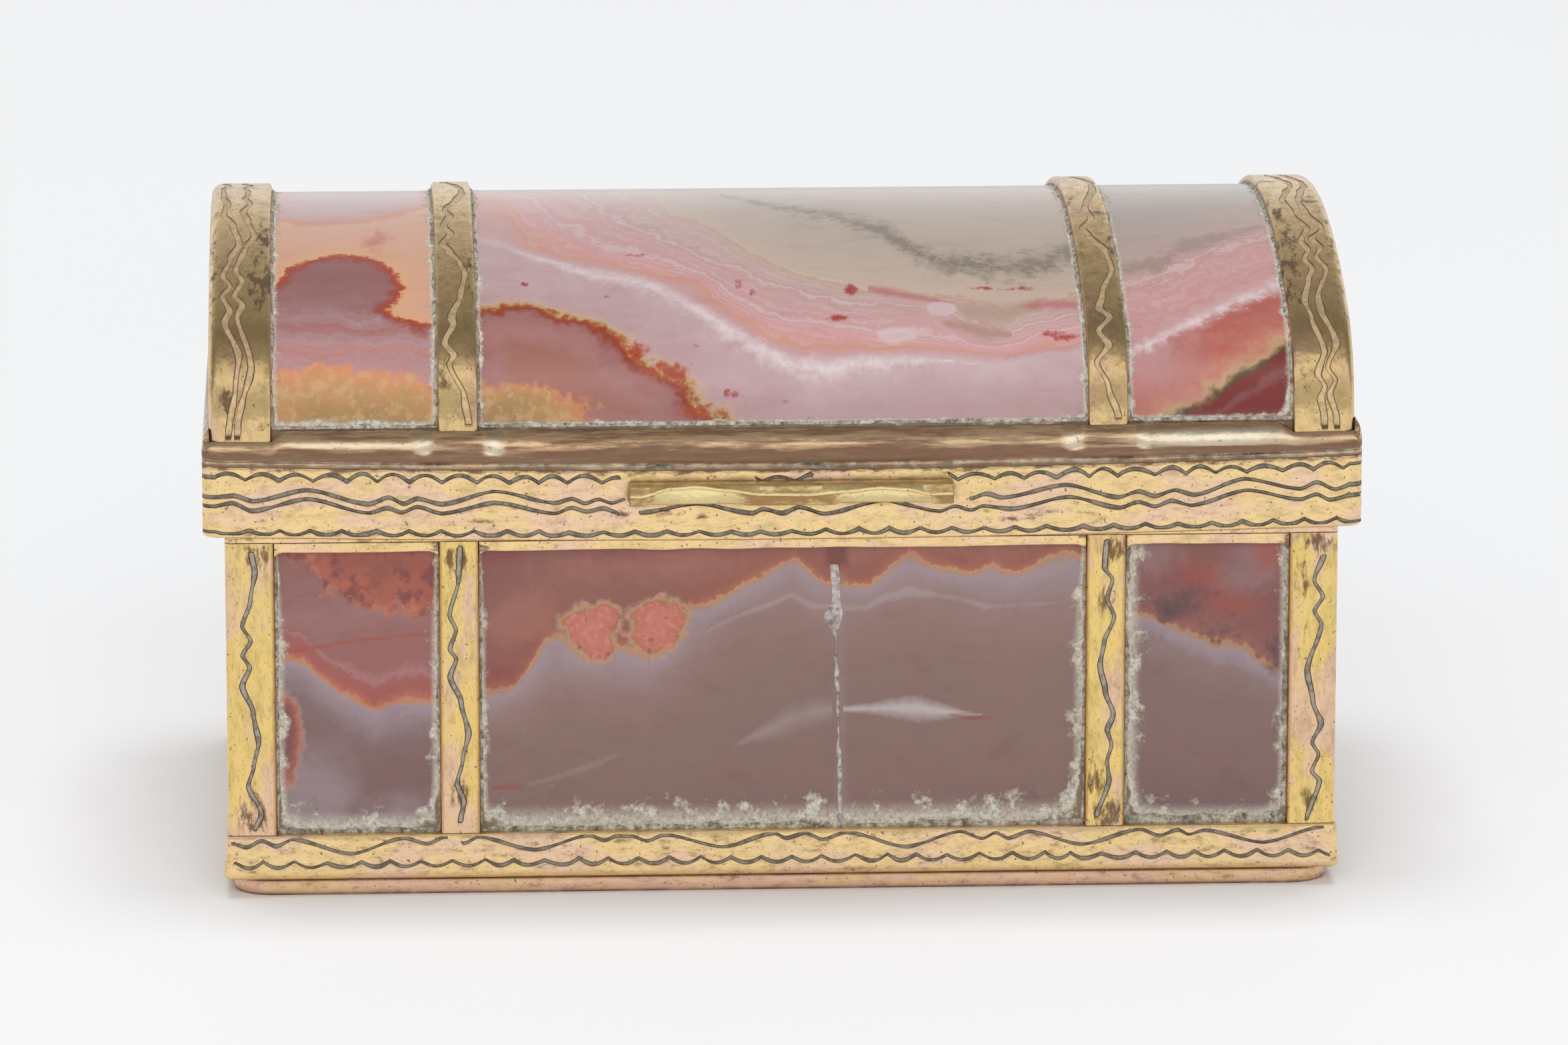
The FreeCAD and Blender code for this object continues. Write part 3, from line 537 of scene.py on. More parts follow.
def lattice(name: str, grid: Array, around: bool, along: bool, marks: Optional[dict] = None) -> Piece:
    """Lay a grid of quads through given places and close it.

    Args:
        name: name of the piece.
        grid: places in millimetres, by station along the piece, then by row round its section.
        around: whether the section is a closed loop.
        along: whether the stations come back to the first one.
        marks: numbers per place to keep on the mesh, by name.

    Returns:
        The new object; an open run with a closed section gets its two ends filled.
    """
    seam = ((0, int(along)), (0, int(around)))
    grid = np.pad(grid, (*seam, (0, 0)), mode="wrap")
    stations, rows = grid.shape[:2]
    deselect()
    bpy.ops.mesh.primitive_grid_add(x_subdivisions=rows - 1, y_subdivisions=stations - 1, size=1)
    obj = bpy.context.object
    obj.name = obj.data.name = name
    obj.data.vertices.foreach_set("co", (grid * MM).astype(np.float32).ravel())
    for key, value in (marks or {}).items():
        store(obj, key, np.pad(value, seam, mode="wrap"))
    bpy.ops.object.mode_set(mode="EDIT")
    bpy.ops.mesh.select_mode(type="EDGE")
    bpy.ops.mesh.select_all(action="SELECT")
    bpy.ops.mesh.remove_doubles(threshold=2e-7)
    if around and not along:
        bpy.ops.mesh.select_all(action="DESELECT")
        bpy.ops.mesh.select_non_manifold()
        bpy.ops.mesh.fill_holes(sides=0)
        bpy.ops.mesh.select_all(action="SELECT")
    bpy.ops.mesh.normals_make_consistent(inside=False)
    bpy.ops.object.mode_set(mode="OBJECT")
    return smooth(obj)


def smooth(obj: Piece, angle: float = 38.0) -> Piece:
    """Shade smooth across edges below that angle in degrees."""
    choose(obj)
    bpy.ops.object.shade_smooth_by_angle(angle=math.radians(angle))
    return obj


def thicken(obj: Piece, outward: Vector, thickness: float) -> Piece:
    """Give a sheet its thickness behind the face that looks outward.

    Args:
        obj: the sheet.
        outward: direction that most of its face looks in.
        thickness: in millimetres.

    Returns:
        The same object, now a closed slab.
    """
    facing = sum((face.normal * face.area for face in obj.data.polygons), Vector())
    if facing.dot(outward) < 0:
        bpy.ops.object.mode_set(mode="EDIT")
        bpy.ops.mesh.select_all(action="SELECT")
        bpy.ops.mesh.flip_normals()
        bpy.ops.object.mode_set(mode="OBJECT")
    shell = obj.modifiers.new("slab", "SOLIDIFY")
    shell.thickness = thickness * MM
    shell.offset = -1
    shell.use_even_offset = True
    choose(obj)
    bpy.ops.object.modifier_apply(modifier=shell.name)
    return smooth(obj)


def extent(node: str) -> tuple[Array, Array]:
    """Lowest and highest corner of a CAD node in millimetres."""
    low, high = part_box(node)
    return np.array(low) / MM, np.array(high) / MM


def dress(obj: Piece, material: Material) -> None:
    """Give a piece its only material."""
    obj.data.materials.clear()
    obj.data.materials.append(material)


def settle(obj: Piece, material: Material, body: str, node: Optional[str] = None) -> None:
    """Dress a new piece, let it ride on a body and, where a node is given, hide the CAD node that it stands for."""
    dress(obj, material)
    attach(obj, body)
    if node:
        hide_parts(node)
    LOG.info("%s rides on %s", obj.name, body)


def ripple(seed: int, along: Array, pitch: float) -> Array:
    """Smooth irregular run from -1 to 1, with knots a pitch apart."""
    rng = np.random.default_rng(seed)
    start = along.min() - pitch
    knots = np.arange(start, along.max() + 2 * pitch, pitch)
    share = (along - start) / pitch
    index = np.clip(share.astype(int), 0, len(knots) - 2)
    part = ease(share - index)
    heights = rng.uniform(-1, 1, len(knots))
    return heights[index] * (1 - part) + heights[index + 1] * part


def cut_share(along: Array, start: float, end: float, lifts: tuple) -> Array:
    """1 where a line is cut, 0 beyond its ends and where the graver was lifted."""
    cut = (along >= start) & (along <= end)
    for lift, landing in lifts:
        cut &= (along < lift) | (along > landing)
    return cut.astype(float)


def repeated(points: Sequence[Point], count: int) -> tuple[Array, Array]:
    """Both coordinates of a section's points, the same at each of so many stations."""
    first, second = zip(*points)
    return np.tile(first, (count, 1)), np.tile(second, (count, 1))


@dataclass(frozen=True)
class Wriggle:
    """Engraved line through its turning points, with places where the graver was lifted."""

    turns: tuple
    lifts: tuple = ()

    def across(self, along: Array) -> Array:
        """Place of the line across the strip."""
        where, height = (np.array(part, float) for part in zip(*sorted(self.turns)))
        index = np.clip(np.searchsorted(where, along) - 1, 0, len(where) - 2)
        part = np.clip((along - where[index]) / (where[index + 1] - where[index]), 0, 1)
        part = 0.75 * ease(part) + 0.25 * part
        return height[index] * (1 - part) + height[index + 1] * part

    def strength(self, along: Array) -> Array:
        """1 where the line is cut, 0 where it isn't."""
        ends = [turn[0] for turn in self.turns]
        return cut_share(along, min(ends), max(ends), self.lifts)


@dataclass(frozen=True)
class Scallops:
    """Engraved line of small bows with sharp points between them."""

    start: float
    end: float
    level: Callable[[Array], Array]
    cusp: Cusp
    pitch: float = 1.93
    height: float = 0.4
    seed: int = 1
    lifts: tuple = ()

    def across(self, along: Array) -> Array:
        """Place of the line across the strip."""
        uneven = along + 0.22 * ripple(self.seed, along, 2.6)
        bow = np.abs(np.sin(np.pi * (uneven - self.start) / self.pitch))
        tall = self.height * (1 + 0.25 * ripple(self.seed + 1, along, 3.1))
        return self.level(along) + tall * (bow if self.cusp is Cusp.DOWN else 1 - bow)

    def strength(self, along: Array) -> Array:
        """1 where the line is cut, 0 where it isn't."""
        return cut_share(along, self.start, self.end, self.lifts)


Line = Union[Wriggle, Scallops]
Edge = Union[float, Array]


@dataclass(frozen=True)
class Graver:
    """Cross-section of an engraved line."""

    width: float = 0.25
    depth: float = 0.06
    floor: float = 0.3
    shoulder: float = 0.05
    least_gap: float = 0.004

    def rows(self, along: Array, low: Edge, high: Edge, lines: Sequence[Line]) -> tuple[Array, Array]:
        """Rows over a strip's face that follow its lines, with a plain row between two of them.

        Args:
            along: places of the stations along the strip.
            low: face's lower edge, for all stations or for each.
            high: face's upper edge, in the same way.
            lines: engraved lines, from the lower edge to the upper one.

        Returns:
            Places across the face by station and row, and the depth share of the cut there.
        """
        low, high = (np.broadcast_to(edge, along.shape) for edge in (low, high))
        plain = np.zeros(along.shape)
        stack = [(low, plain)]
        previous = low
        for number, line in enumerate(lines):
            middle, strength = line.across(along), line.strength(along)
            half = self.width / 2 * (1 + 0.3 * ripple(31 + 7 * number, along, 0.9))
            first = middle - half - self.shoulder
            stack += [(previous + (first - previous) / 2, plain), (first, plain)]
            for offset, depth in ((-1.0, 0), (-self.floor, 1), (self.floor, 1), (1.0, 0)):
                stack.append((middle + offset * half, strength * depth))
            previous = middle + half + self.shoulder
            stack.append((previous, plain))
        stack += [(previous + (high - previous) / 2, plain), (high, plain)]
        across = np.stack([row for row, _ in stack], 1)
        gap = self.least_gap * np.arange(across.shape[1])
        across = np.maximum.accumulate(across - gap, axis=1) + gap
        across = np.minimum(across, high[:, None] - gap[::-1])
        return across, np.stack([depth for _, depth in stack], 1)

    def strip(self, along: Array, edges: Point, lines: Sequence[Line],
              rest: Sequence[Point]) -> tuple[Array, Array, Array]:
        """Section of an engraved strip all along it.

        Args:
            along: places of the stations.
            edges: lower and upper edge of its face.
            lines: engraved lines of the face.
            rest: plain remainder of the section, as places across and depths.

        Returns:
            Places across, depths below the face and depth shares of the cut, by station and row.
        """
        face, cut = self.rows(along, *edges, lines)
        across, deep = repeated(rest, len(along))
        return (np.concatenate([face, across], 1), np.concatenate([self.depth * cut, deep], 1),
                np.pad(cut, ((0, 0), (0, len(rest)))))


@dataclass
class Ring:
    """Rectangular path with rounded corners, walked from the middle of the back."""

    half_x: float
    half_y: float
    corner: float
    step: float = 0.13

    def __post_init__(self) -> None:
        """Work out the stations."""
        core_x, core_y = self.half_x - self.corner, self.half_y - self.corner
        self.core = np.array([core_x, core_y])
        places, normals, labels = [], [], []
        runs = (
            ((core_x, core_y), (core_x, -core_y), (1, 0)), ((core_x, -core_y), (-core_x, -core_y), (0, -1)),
            ((-core_x, -core_y), (-core_x, core_y), (-1, 0)), ((-core_x, core_y), (core_x, core_y), (0, 1)))
        for index, (start, end, normal) in enumerate(runs):
            start, end = np.array(start), np.array(end)
            count = int(np.linalg.norm(end - start) / self.step)
            for share in np.linspace(0, 1, count):
                places.append(start + (end - start) * share)
                normals.append(normal)
                labels.append(index)
            following = np.array(runs[(index + 1) % 4][2])
            for turn in (0.2, 0.4, 0.6, 0.8):
                blend = np.array(normal) * math.cos(turn * math.pi / 2) + following * math.sin(turn * math.pi / 2)
                places.append(end)
                normals.append(blend)
                labels.append(-1)
        self.places = np.array(places, float)
        self.normals = np.array(normals, float)
        self.side = np.array(labels)
        self.along = np.where(np.isin(self.side, (0, 2)), self.places[:, 1], self.places[:, 0])

    def spread(self, out: Array, height: Array) -> Array:
        """Grid over the ring.

        Args:
            out: reach beyond the outer face, by station and row; negative is inside.
            height: Z by station and row.

        Returns:
            Places by station and row.
        """
        reach = self.corner + out
        outer = self.places[:, None, :] + self.normals[:, None, :] * np.maximum(reach, 0)[..., None]
        limit = self.core + np.minimum(reach, 0)[..., None]
        flat = np.clip(outer, -limit, limit)
        flat = np.where((reach < 0)[..., None], flat, outer)
        return np.concatenate([flat, height[..., None]], axis=2)


@dataclass
class Arch:
    """Front-to-back line of the vaulted lid: legs, shoulders and crown."""

    inset: float = 0.0
    half: float = 22.25
    rise: float = 10.6
    shoulder: float = 7.0
    crown: float = 41.1
    spring: float = 29.1

    def __post_init__(self) -> None:
        """Work out the turn and the lengths along the line."""
        self.turn = math.atan2(self.crown - self.rise, self.half - self.shoulder)
        self.round = (self.shoulder - self.inset) * self.turn
        self.middle = self.round + (self.crown - self.inset) * (math.pi / 2 - self.turn)
        self.length = 2 * self.middle

    def places(self, along: Array, inset: Union[float, Array] = 0.0) -> tuple[Array, Array]:
        """Y and Z at distances from the front spring line, that far inside the line."""
        mirror = along > self.middle
        near = np.where(mirror, self.length - along, along)
        deep = self.inset + inset
        low = near / (self.shoulder - self.inset)
        high = self.turn + (near - self.round) / (self.crown - self.inset)
        on_round = near < self.round
        y = np.where(on_round, -(self.half - self.shoulder) - (self.shoulder - deep) * np.cos(low),
                     -(self.crown - deep) * np.cos(high))
        z = np.where(on_round, self.spring + (self.shoulder - deep) * np.sin(low),
                     self.spring + self.rise - self.crown + (self.crown - deep) * np.sin(high))
        leg = near < 0
        y = np.where(leg, -(self.half - deep), y)
        z = np.where(leg, self.spring + near, z)
        return np.where(mirror, -y, y), z

    def stations(self, leg: float, step: float) -> Array:
        """Distances along the line, from the foot of one leg to the foot of the other."""
        inner = np.linspace(0, self.length, int(self.length / step))
        return np.concatenate([[-leg, -leg / 2], inner, [self.length + leg / 2, self.length + leg]])


def tee_back(half: float) -> tuple:
    """Section of a tee strip from one edge of its face, round its web, to the other edge."""
    right = ((half - 0.07, 0.07), (half, 0.24), (half, 0.5), (0.3, 0.5), (0.3, 2.1))
    return right + tuple((-across, deep) for across, deep in right[::-1])


def sag(x: Array, depth: float) -> Array:
    """How far the long front of the lid's rim hangs below a straight line."""
    return depth * np.clip(1 - (x / RIM_X) ** 2, 0, 1)


class Finishes:
    """Every metal and cement finish of the casket, each built once."""

    def __init__(self) -> None:
        """Build the materials."""
        upright = (1.0, 1.0, 0.35)
        self.gilt = Gilt("rim_gilding", tone(246, 214, 154), tone(242, 206, 172), tone(104, 74, 56), 0.26, 0.24,
                         0.65).material()
        self.post = Gilt("cage_gilding", tone(238, 206, 130), tone(232, 196, 162), tone(100, 72, 46), 0.3, 0.24,
                         0.72, upright, groove_floor=tone(172, 162, 148), blackened=0.5).material()
        self.foot = Gilt("foot_gilding", tone(248, 212, 164), tone(248, 206, 178), tone(132, 96, 78), 0.14, 0.3,
                         0.75, scuffed=0.1).material()
        # The thumbpiece's painted highlight has its own, warmer tint.
        self.thumb = Gilt("thumbpiece_gilding", tone(248, 224, 160), tone(246, 214, 164), tone(146, 104, 62), 0.05,
                          0.22, 0.4, ragged=0.2, bright=tone(252, 230, 172)).material()
        self.band = Gilt("lid_band_gilding", tone(230, 198, 142), tone(226, 190, 150), tone(84, 62, 44), 0.5, 0.22,
                         0.5, (1.0, 0.4, 0.5), 0.5, tone(222, 194, 152), tone(90, 66, 44), 0.3, 0.12).material()
        self.bezel = Gilt("bezel_gilding", tone(243, 208, 164), tone(240, 195, 158), tone(98, 64, 46), 0.15, 0.13,
                          0.5, (0.12, 1.0, 1.2), 0.2, scuffed=0.3).material()
        self.hinge = Gilt("hinge_brass", tone(206, 172, 104), tone(190, 150, 108), tone(104, 80, 60), 0.4,
                          0.34).material()
        self.mortar = Mortar("bedding_cement", tone(92, 82, 66), tone(158, 150, 134), tone(206, 202, 188)).material()
        self.filler = Mortar("crack_cement", tone(112, 92, 86), tone(168, 156, 152), tone(206, 200, 198)).material()


@dataclass
class Frames:
    """Plain frames: the foot, the rail over the walls and the lip that the lid closes over."""

    finishes: Finishes

    def ring(self, name: str, node: str, width: float, corner: float, edge: float,
             material: Material, grow: float = 0.0) -> None:
        """Model a frame over its CAD node.

        Args:
            name: name of the piece.
            node: CAD node that it stands for.
            width: width of the frame in plan.
            corner: radius of its upright corners.
            edge: rounding of its long edges.
            material: its finish.
            grow: how far its outside stands beyond the node in plan.
        """
        low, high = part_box(node)
        margin = Vector((grow, grow, 0.0)) * MM
        low, high = low - margin, high + margin
        deselect()
        bpy.ops.mesh.primitive_cube_add(size=1, location=(low + high) / 2)
        obj = bpy.context.object
        obj.name = obj.data.name = name
        obj.scale = high - low
        bpy.ops.object.transform_apply(location=True, rotation=True, scale=True)
        self.pick(obj, "FACE")
        for face in obj.data.polygons:
            face.select = abs(face.normal.z) > 0.9
        bpy.ops.object.mode_set(mode="EDIT")
        bpy.ops.mesh.inset(thickness=width * MM, use_even_offset=True)
        bpy.ops.mesh.bridge_edge_loops()
        self.pick(obj, "EDGE")
        for run in obj.data.edges:
            ends = [obj.data.vertices[index].co for index in run.vertices]
            outside = min(ends[0].x - low[0], high[0] - ends[0].x) < 0.1 * MM
            run.select = outside and abs(ends[1].z - ends[0].z) > 0.1 * MM
        bpy.ops.object.mode_set(mode="EDIT")
        bpy.ops.mesh.bevel(offset=corner * MM, segments=7, affect="EDGES")
        bpy.ops.mesh.select_all(action="SELECT")
        bpy.ops.mesh.normals_make_consistent(inside=False)
        bpy.ops.object.mode_set(mode="OBJECT")
        rounding = obj.modifiers.new("worn_edges", "BEVEL")
        rounding.width = edge * MM
        rounding.segments = 3
        rounding.limit_method = "ANGLE"
        rounding.angle_limit = math.radians(50)
        bpy.ops.object.modifier_apply(modifier=rounding.name)
        settle(smooth(obj), material, "body", node)

    def pick(self, obj: Piece, kind: str) -> None:
        """Clear the mesh's selection, ready to choose edges or faces in object mode."""
        bpy.context.view_layer.objects.active = obj
        bpy.ops.object.mode_set(mode="EDIT")
        bpy.ops.mesh.select_mode(type=kind)
        bpy.ops.mesh.select_all(action="DESELECT")
        bpy.ops.object.mode_set(mode="OBJECT")

    def apron(self, name: str, wall: tuple, low: float, high: float, seed: int) -> None:
        """Model the strip that hangs from the rail over the top edge of a stone.

        Args:
            name: name of the piece.
            wall: outward direction of the wall in X and Y.
            low: start of the strip along the wall.
            high: end of the strip along the wall.
            seed: chooses its unevenness.
        """
        a = np.linspace(low, high, int((high - low) / 0.25))
        edge = 21.3 + 0.05 * ripple(seed, a, 2.2)
        away = np.minimum(a - low, high - a)
        edge = edge - 0.3 * np.clip(1 - away / 0.55, 0, 1) ** 2
        face = (END_FACE if wall[0] else FRONT_FACE) + 0.42
        out = (0.0, -0.06, -0.3, -0.44, -0.44, -0.1, 0.0)
        height = [edge + 0.1, edge + 0.02, edge, edge + 0.04, np.full(a.shape, 21.97), np.full(a.shape, 21.97),
                  np.full(a.shape, 21.9)]
        rows = []
        for reach, z in zip(out, height):
            flat = np.full(a.shape, face + reach)
            place = [wall[0] * flat, a, z] if wall[0] else [a, wall[1] * flat, z]
            rows.append(np.stack(place, 1))
        grid = np.stack(rows, 1)
        smudge = np.tile(np.clip(0.45 - away / 1.6, -0.3, 0.45)[:, None], (1, len(out)))
        settle(lattice(name, grid, True, False, {"smudge": smudge}), self.finishes.gilt, "body")

    def build(self) -> None:
        """Model the three frames and the rail's hanging strips."""
        self.ring("foot_frame", "foot_rim", 3.3, 2.4, 0.2, self.finishes.foot, 0.35)
        self.ring("wall_rail", "top_rail", 2.75, 0.4, 0.1, self.finishes.gilt)
        self.ring("closing_lip", "inner_rim", 0.7, 0.15, 0.1, self.finishes.post)
        for wall in Wall:
            for index, (side, low, high) in enumerate(WallStone.spans):
                self.apron(f"rail_strip_{wall.tag}_{side}", (0, wall.value), low, high, 500 + index)
        for side in Side:
            self.apron(f"rail_strip_end_{side.tag}", (side.value, 0), -END_HALF, END_HALF, 510)


@dataclass
class Plinth:
    """Engraved base band with its inner ledge."""

    finishes: Finishes
    bottom: float = 1.0
    top: float = WALL_FOOT
    lean: float = 0.06
    swags: tuple = (
        (-33.5, 3.4), (-32.6, 3.15), (-31.7, 3.55), (-30.8, 3.2), (-29.8, 3.6), (-26.25, 2.68), (-23.05, 3.62),
        (-21.65, 3.24), (-20.55, 3.65), (-19.4, 3.25), (-18.55, 3.62), (-15.1, 2.79), (-11.8, 3.64), (-10.9, 3.32),
        (-10.1, 3.58), (-9.2, 3.55), (-8.3, 3.25), (-7.25, 3.62), (-3.65, 2.83), (-0.55, 3.64), (0.15, 3.32),
        (1.35, 3.62), (2.4, 3.22), (3.85, 3.65), (7.5, 2.7), (10.8, 3.6), (12.15, 3.15), (12.95, 3.5), (13.7, 3.15),
        (15, 3.55), (18.2, 2.72), (21.8, 3.6), (22.95, 3.2), (24.1, 3.55), (24.75, 3.25), (25.7, 3.5), (29.3, 2.7),
        (32.95, 3.62))

    def build(self) -> None:
        """Model the band."""
        ring = Ring(33.95, 21.65, 0.4)
        top, bottom = self.top, self.bottom
        low = bottom + 0.42
        lower = Scallops(-33.4, 33.4, lambda x: np.full(x.shape, 1.86), Cusp.UP, 1.89, 0.34, 3)
        graver = Graver()
        across, cut = graver.rows(ring.along, low, top - 0.15, (lower, Wriggle(self.swags, ((-20.4, -19.5),))))
        rest = (
            (-0.17, top - 0.05), (-0.28, top), (-0.7, top), (-0.75, top - 0.05), (-0.75, 1.85), (-0.8, 1.8),
            (-3.85, 1.8), (-3.9, 1.75), (-3.9, bottom + 0.05), (-3.85, bottom), (-0.75, bottom),
            (-0.46, bottom + 0.03), (-0.24, bottom + 0.1), (-0.09, bottom + 0.2), (-0.02, bottom + 0.31))
        out, height = repeated(rest, len(across))
        face = -graver.depth * cut - self.lean * (across - low)
        grid = ring.spread(np.concatenate([face, out], 1), np.concatenate([across, height], 1))
        obj = lattice("plinth_engraved", grid, True, True, {"groove": np.pad(cut, ((0, 0), (0, len(rest))))})
        settle(obj, self.finishes.gilt, "body", "plinth_band")


@dataclass
class Cage:
    """Corner posts and tee straps of the four walls."""

    finishes: Finishes
    half_x: float = 33.7
    half_y: float = 21.4
    leg: float = 2.98
    sheet: float = 0.5
    strap: float = 2.45
    graver: Graver = Graver(0.36, 0.07)
    stations: int = 150
    left_post: tuple = (
        (21.4, 1.6), (20.2, 1.8), (18.4, 1.5), (16.85, 1), (15.96, 1.5), (15.05, 1), (14.34, 1.42), (13.15, 0.96),
        (11.5, 1.6), (9.6, 1.9), (8.15, 1.6), (6.96, 1.25), (5.18, 2.03), (4.1, 1.6))
    right_post: tuple = (
        (20.6, 0.9), (19, 1.44), (18, 0.9), (17.1, 1.4), (16.25, 0.97), (13.4, 1.8), (11.5, 1.44), (10.06, 0.92),
        (8.87, 1.44), (8.15, 1.04), (7.1, 1.44), (6.5, 0.97), (4, 1.73))
    left_strap: tuple = (
        (21.6, 0.07), (19.6, -0.03), (17.4, -0.58), (16.5, -0.2), (15.3, -0.58), (14.7, -0.2), (13.6, -0.58),
        (12, 0.07), (10.06, 0.5), (8.4, 0.14), (6.96, -0.2), (5.8, 0.2), (4.5, -0.03))
    right_strap: tuple = (
        (21.6, 0), (19.9, -0.1), (19.2, 0.38), (18, 0.07), (16.85, 0.5), (15.3, -0.1), (13.87, -0.34), (12.2, 0),
        (10.8, 0.5), (9.8, 0.14), (8.9, 0.4), (7.9, 0.14), (6.7, 0.26), (4.35, -0.46))
    smudges: tuple = (
        (19.5, 18.1, 0.7, 0.8), (20, 20.9, 0.7, 0.8), (19, 6.6, 0.6, 1.6), (-19.8, 21, 0.9, 0.9),
        (-31.7, 21.2, 0.8, 0.9), (-32.2, 5.4, 1, 1.6), (32.6, 21.3, 1.2, 0.7), (31.6, 17.5, 0.4, 3),
        (19.7, 4.6, 1, 0.9), (-19.6, 6.3, 0.5, 1.2), (32.2, 5.2, 0.5, 1))

    def place(self, name: str, node: str, x: Array, y: Array, z: Array, cut: Array,
              plain: int) -> None:
        """Lay a strip's grid and settle it.

        Args:
            name: name of the piece.
            node: CAD node that it stands for.
            x: X by station and row.
            y: Y by station and row.
            z: height of each station.
            cut: depth shares of the engraving, by station and row.
            plain: how many rows at the end of the section are its plain rest, painted browner as shade.
        """
        height = np.broadcast_to(z[:, None], x.shape)
        stain = np.clip(Blobs(self.smudges).value(x, height), -0.6, 0.4) + 0.1
        shaded_edge = np.zeros(x.shape)
        shaded_edge[:, -plain:] = 1
        marks = {"groove": cut, "smudge": np.where(y < 0, stain, -0.6), "bronze": shaded_edge}
        obj = lattice(name, np.stack([x, y, height], axis=2), True, False, marks)
        settle(obj, self.finishes.post, "body", node)

    def post(self, side: Side, wall: Wall) -> None:
        """Model one corner post: an angle strip engraved on both faces."""
        z = np.linspace(WALL_FOOT, WALL_TOP, self.stations)
        turns = self.left_post if side.value * wall.value > 0 else self.right_post
        leg, sheet, depth, edges = self.leg, self.sheet, self.graver.depth, (0.4, self.leg - 0.26)
        front, cut = (part[:, ::-1] for part in self.graver.rows(z, *edges, (Wriggle(turns),)))
        moved = Wriggle(tuple((a, b + 0.1) for a, b in turns[1:]))
        flank, flank_cut = self.graver.rows(z, *edges, (moved,))
        bend = [(0.4 - 0.4 * math.sin(turn), 0.4 - 0.4 * math.cos(turn)) for turn in (0.39, 0.785, 1.18)]
        rest = (
            (0.07, leg - 0.07), (0.24, leg), (sheet, leg), (sheet, sheet), (leg, sheet), (leg, 0.24),
            (leg - 0.07, 0.07))
        (bend_a, bend_b), (rest_a, rest_b) = (repeated(points, len(z)) for points in (bend, rest))
        a = np.concatenate([front, bend_a, depth * flank_cut, rest_a], 1)
        b = np.concatenate([depth * cut, bend_b, flank, rest_b], 1)
        marks = np.concatenate([cut, np.zeros(bend_a.shape), flank_cut, np.zeros(rest_a.shape)], 1)
        where = f"{wall.tag}_{side.tag}"
        self.place(f"post_{where}_engraved", f"corner_post_{where}", side.value * (self.half_x - a),
                   wall.value * (self.half_y - b), z, marks, len(rest))

    def tee(self, side: Side, wall: Wall) -> None:
        """Model one strap: a tee strip engraved on its face."""
        z = np.linspace(WALL_FOOT, WALL_TOP, self.stations)
        line = Wriggle(self.left_strap if side is Side.LEFT else self.right_strap)
        half = self.strap / 2
        rest = tee_back(half)
        a, b, cut = self.graver.strip(z, (0.26 - half, half - 0.26), (line,), rest)
        where = f"{wall.tag}_strap_{side.tag}"
        self.place(f"{where}_engraved", where, side.value * STRAP_X + a, wall.value * (self.half_y - b), z, cut,
                   len(rest))

    def build(self) -> None:
        """Model all posts and straps."""
        for wall in Wall:
            for side in Side:
                self.post(side, wall)
                self.tee(side, wall)


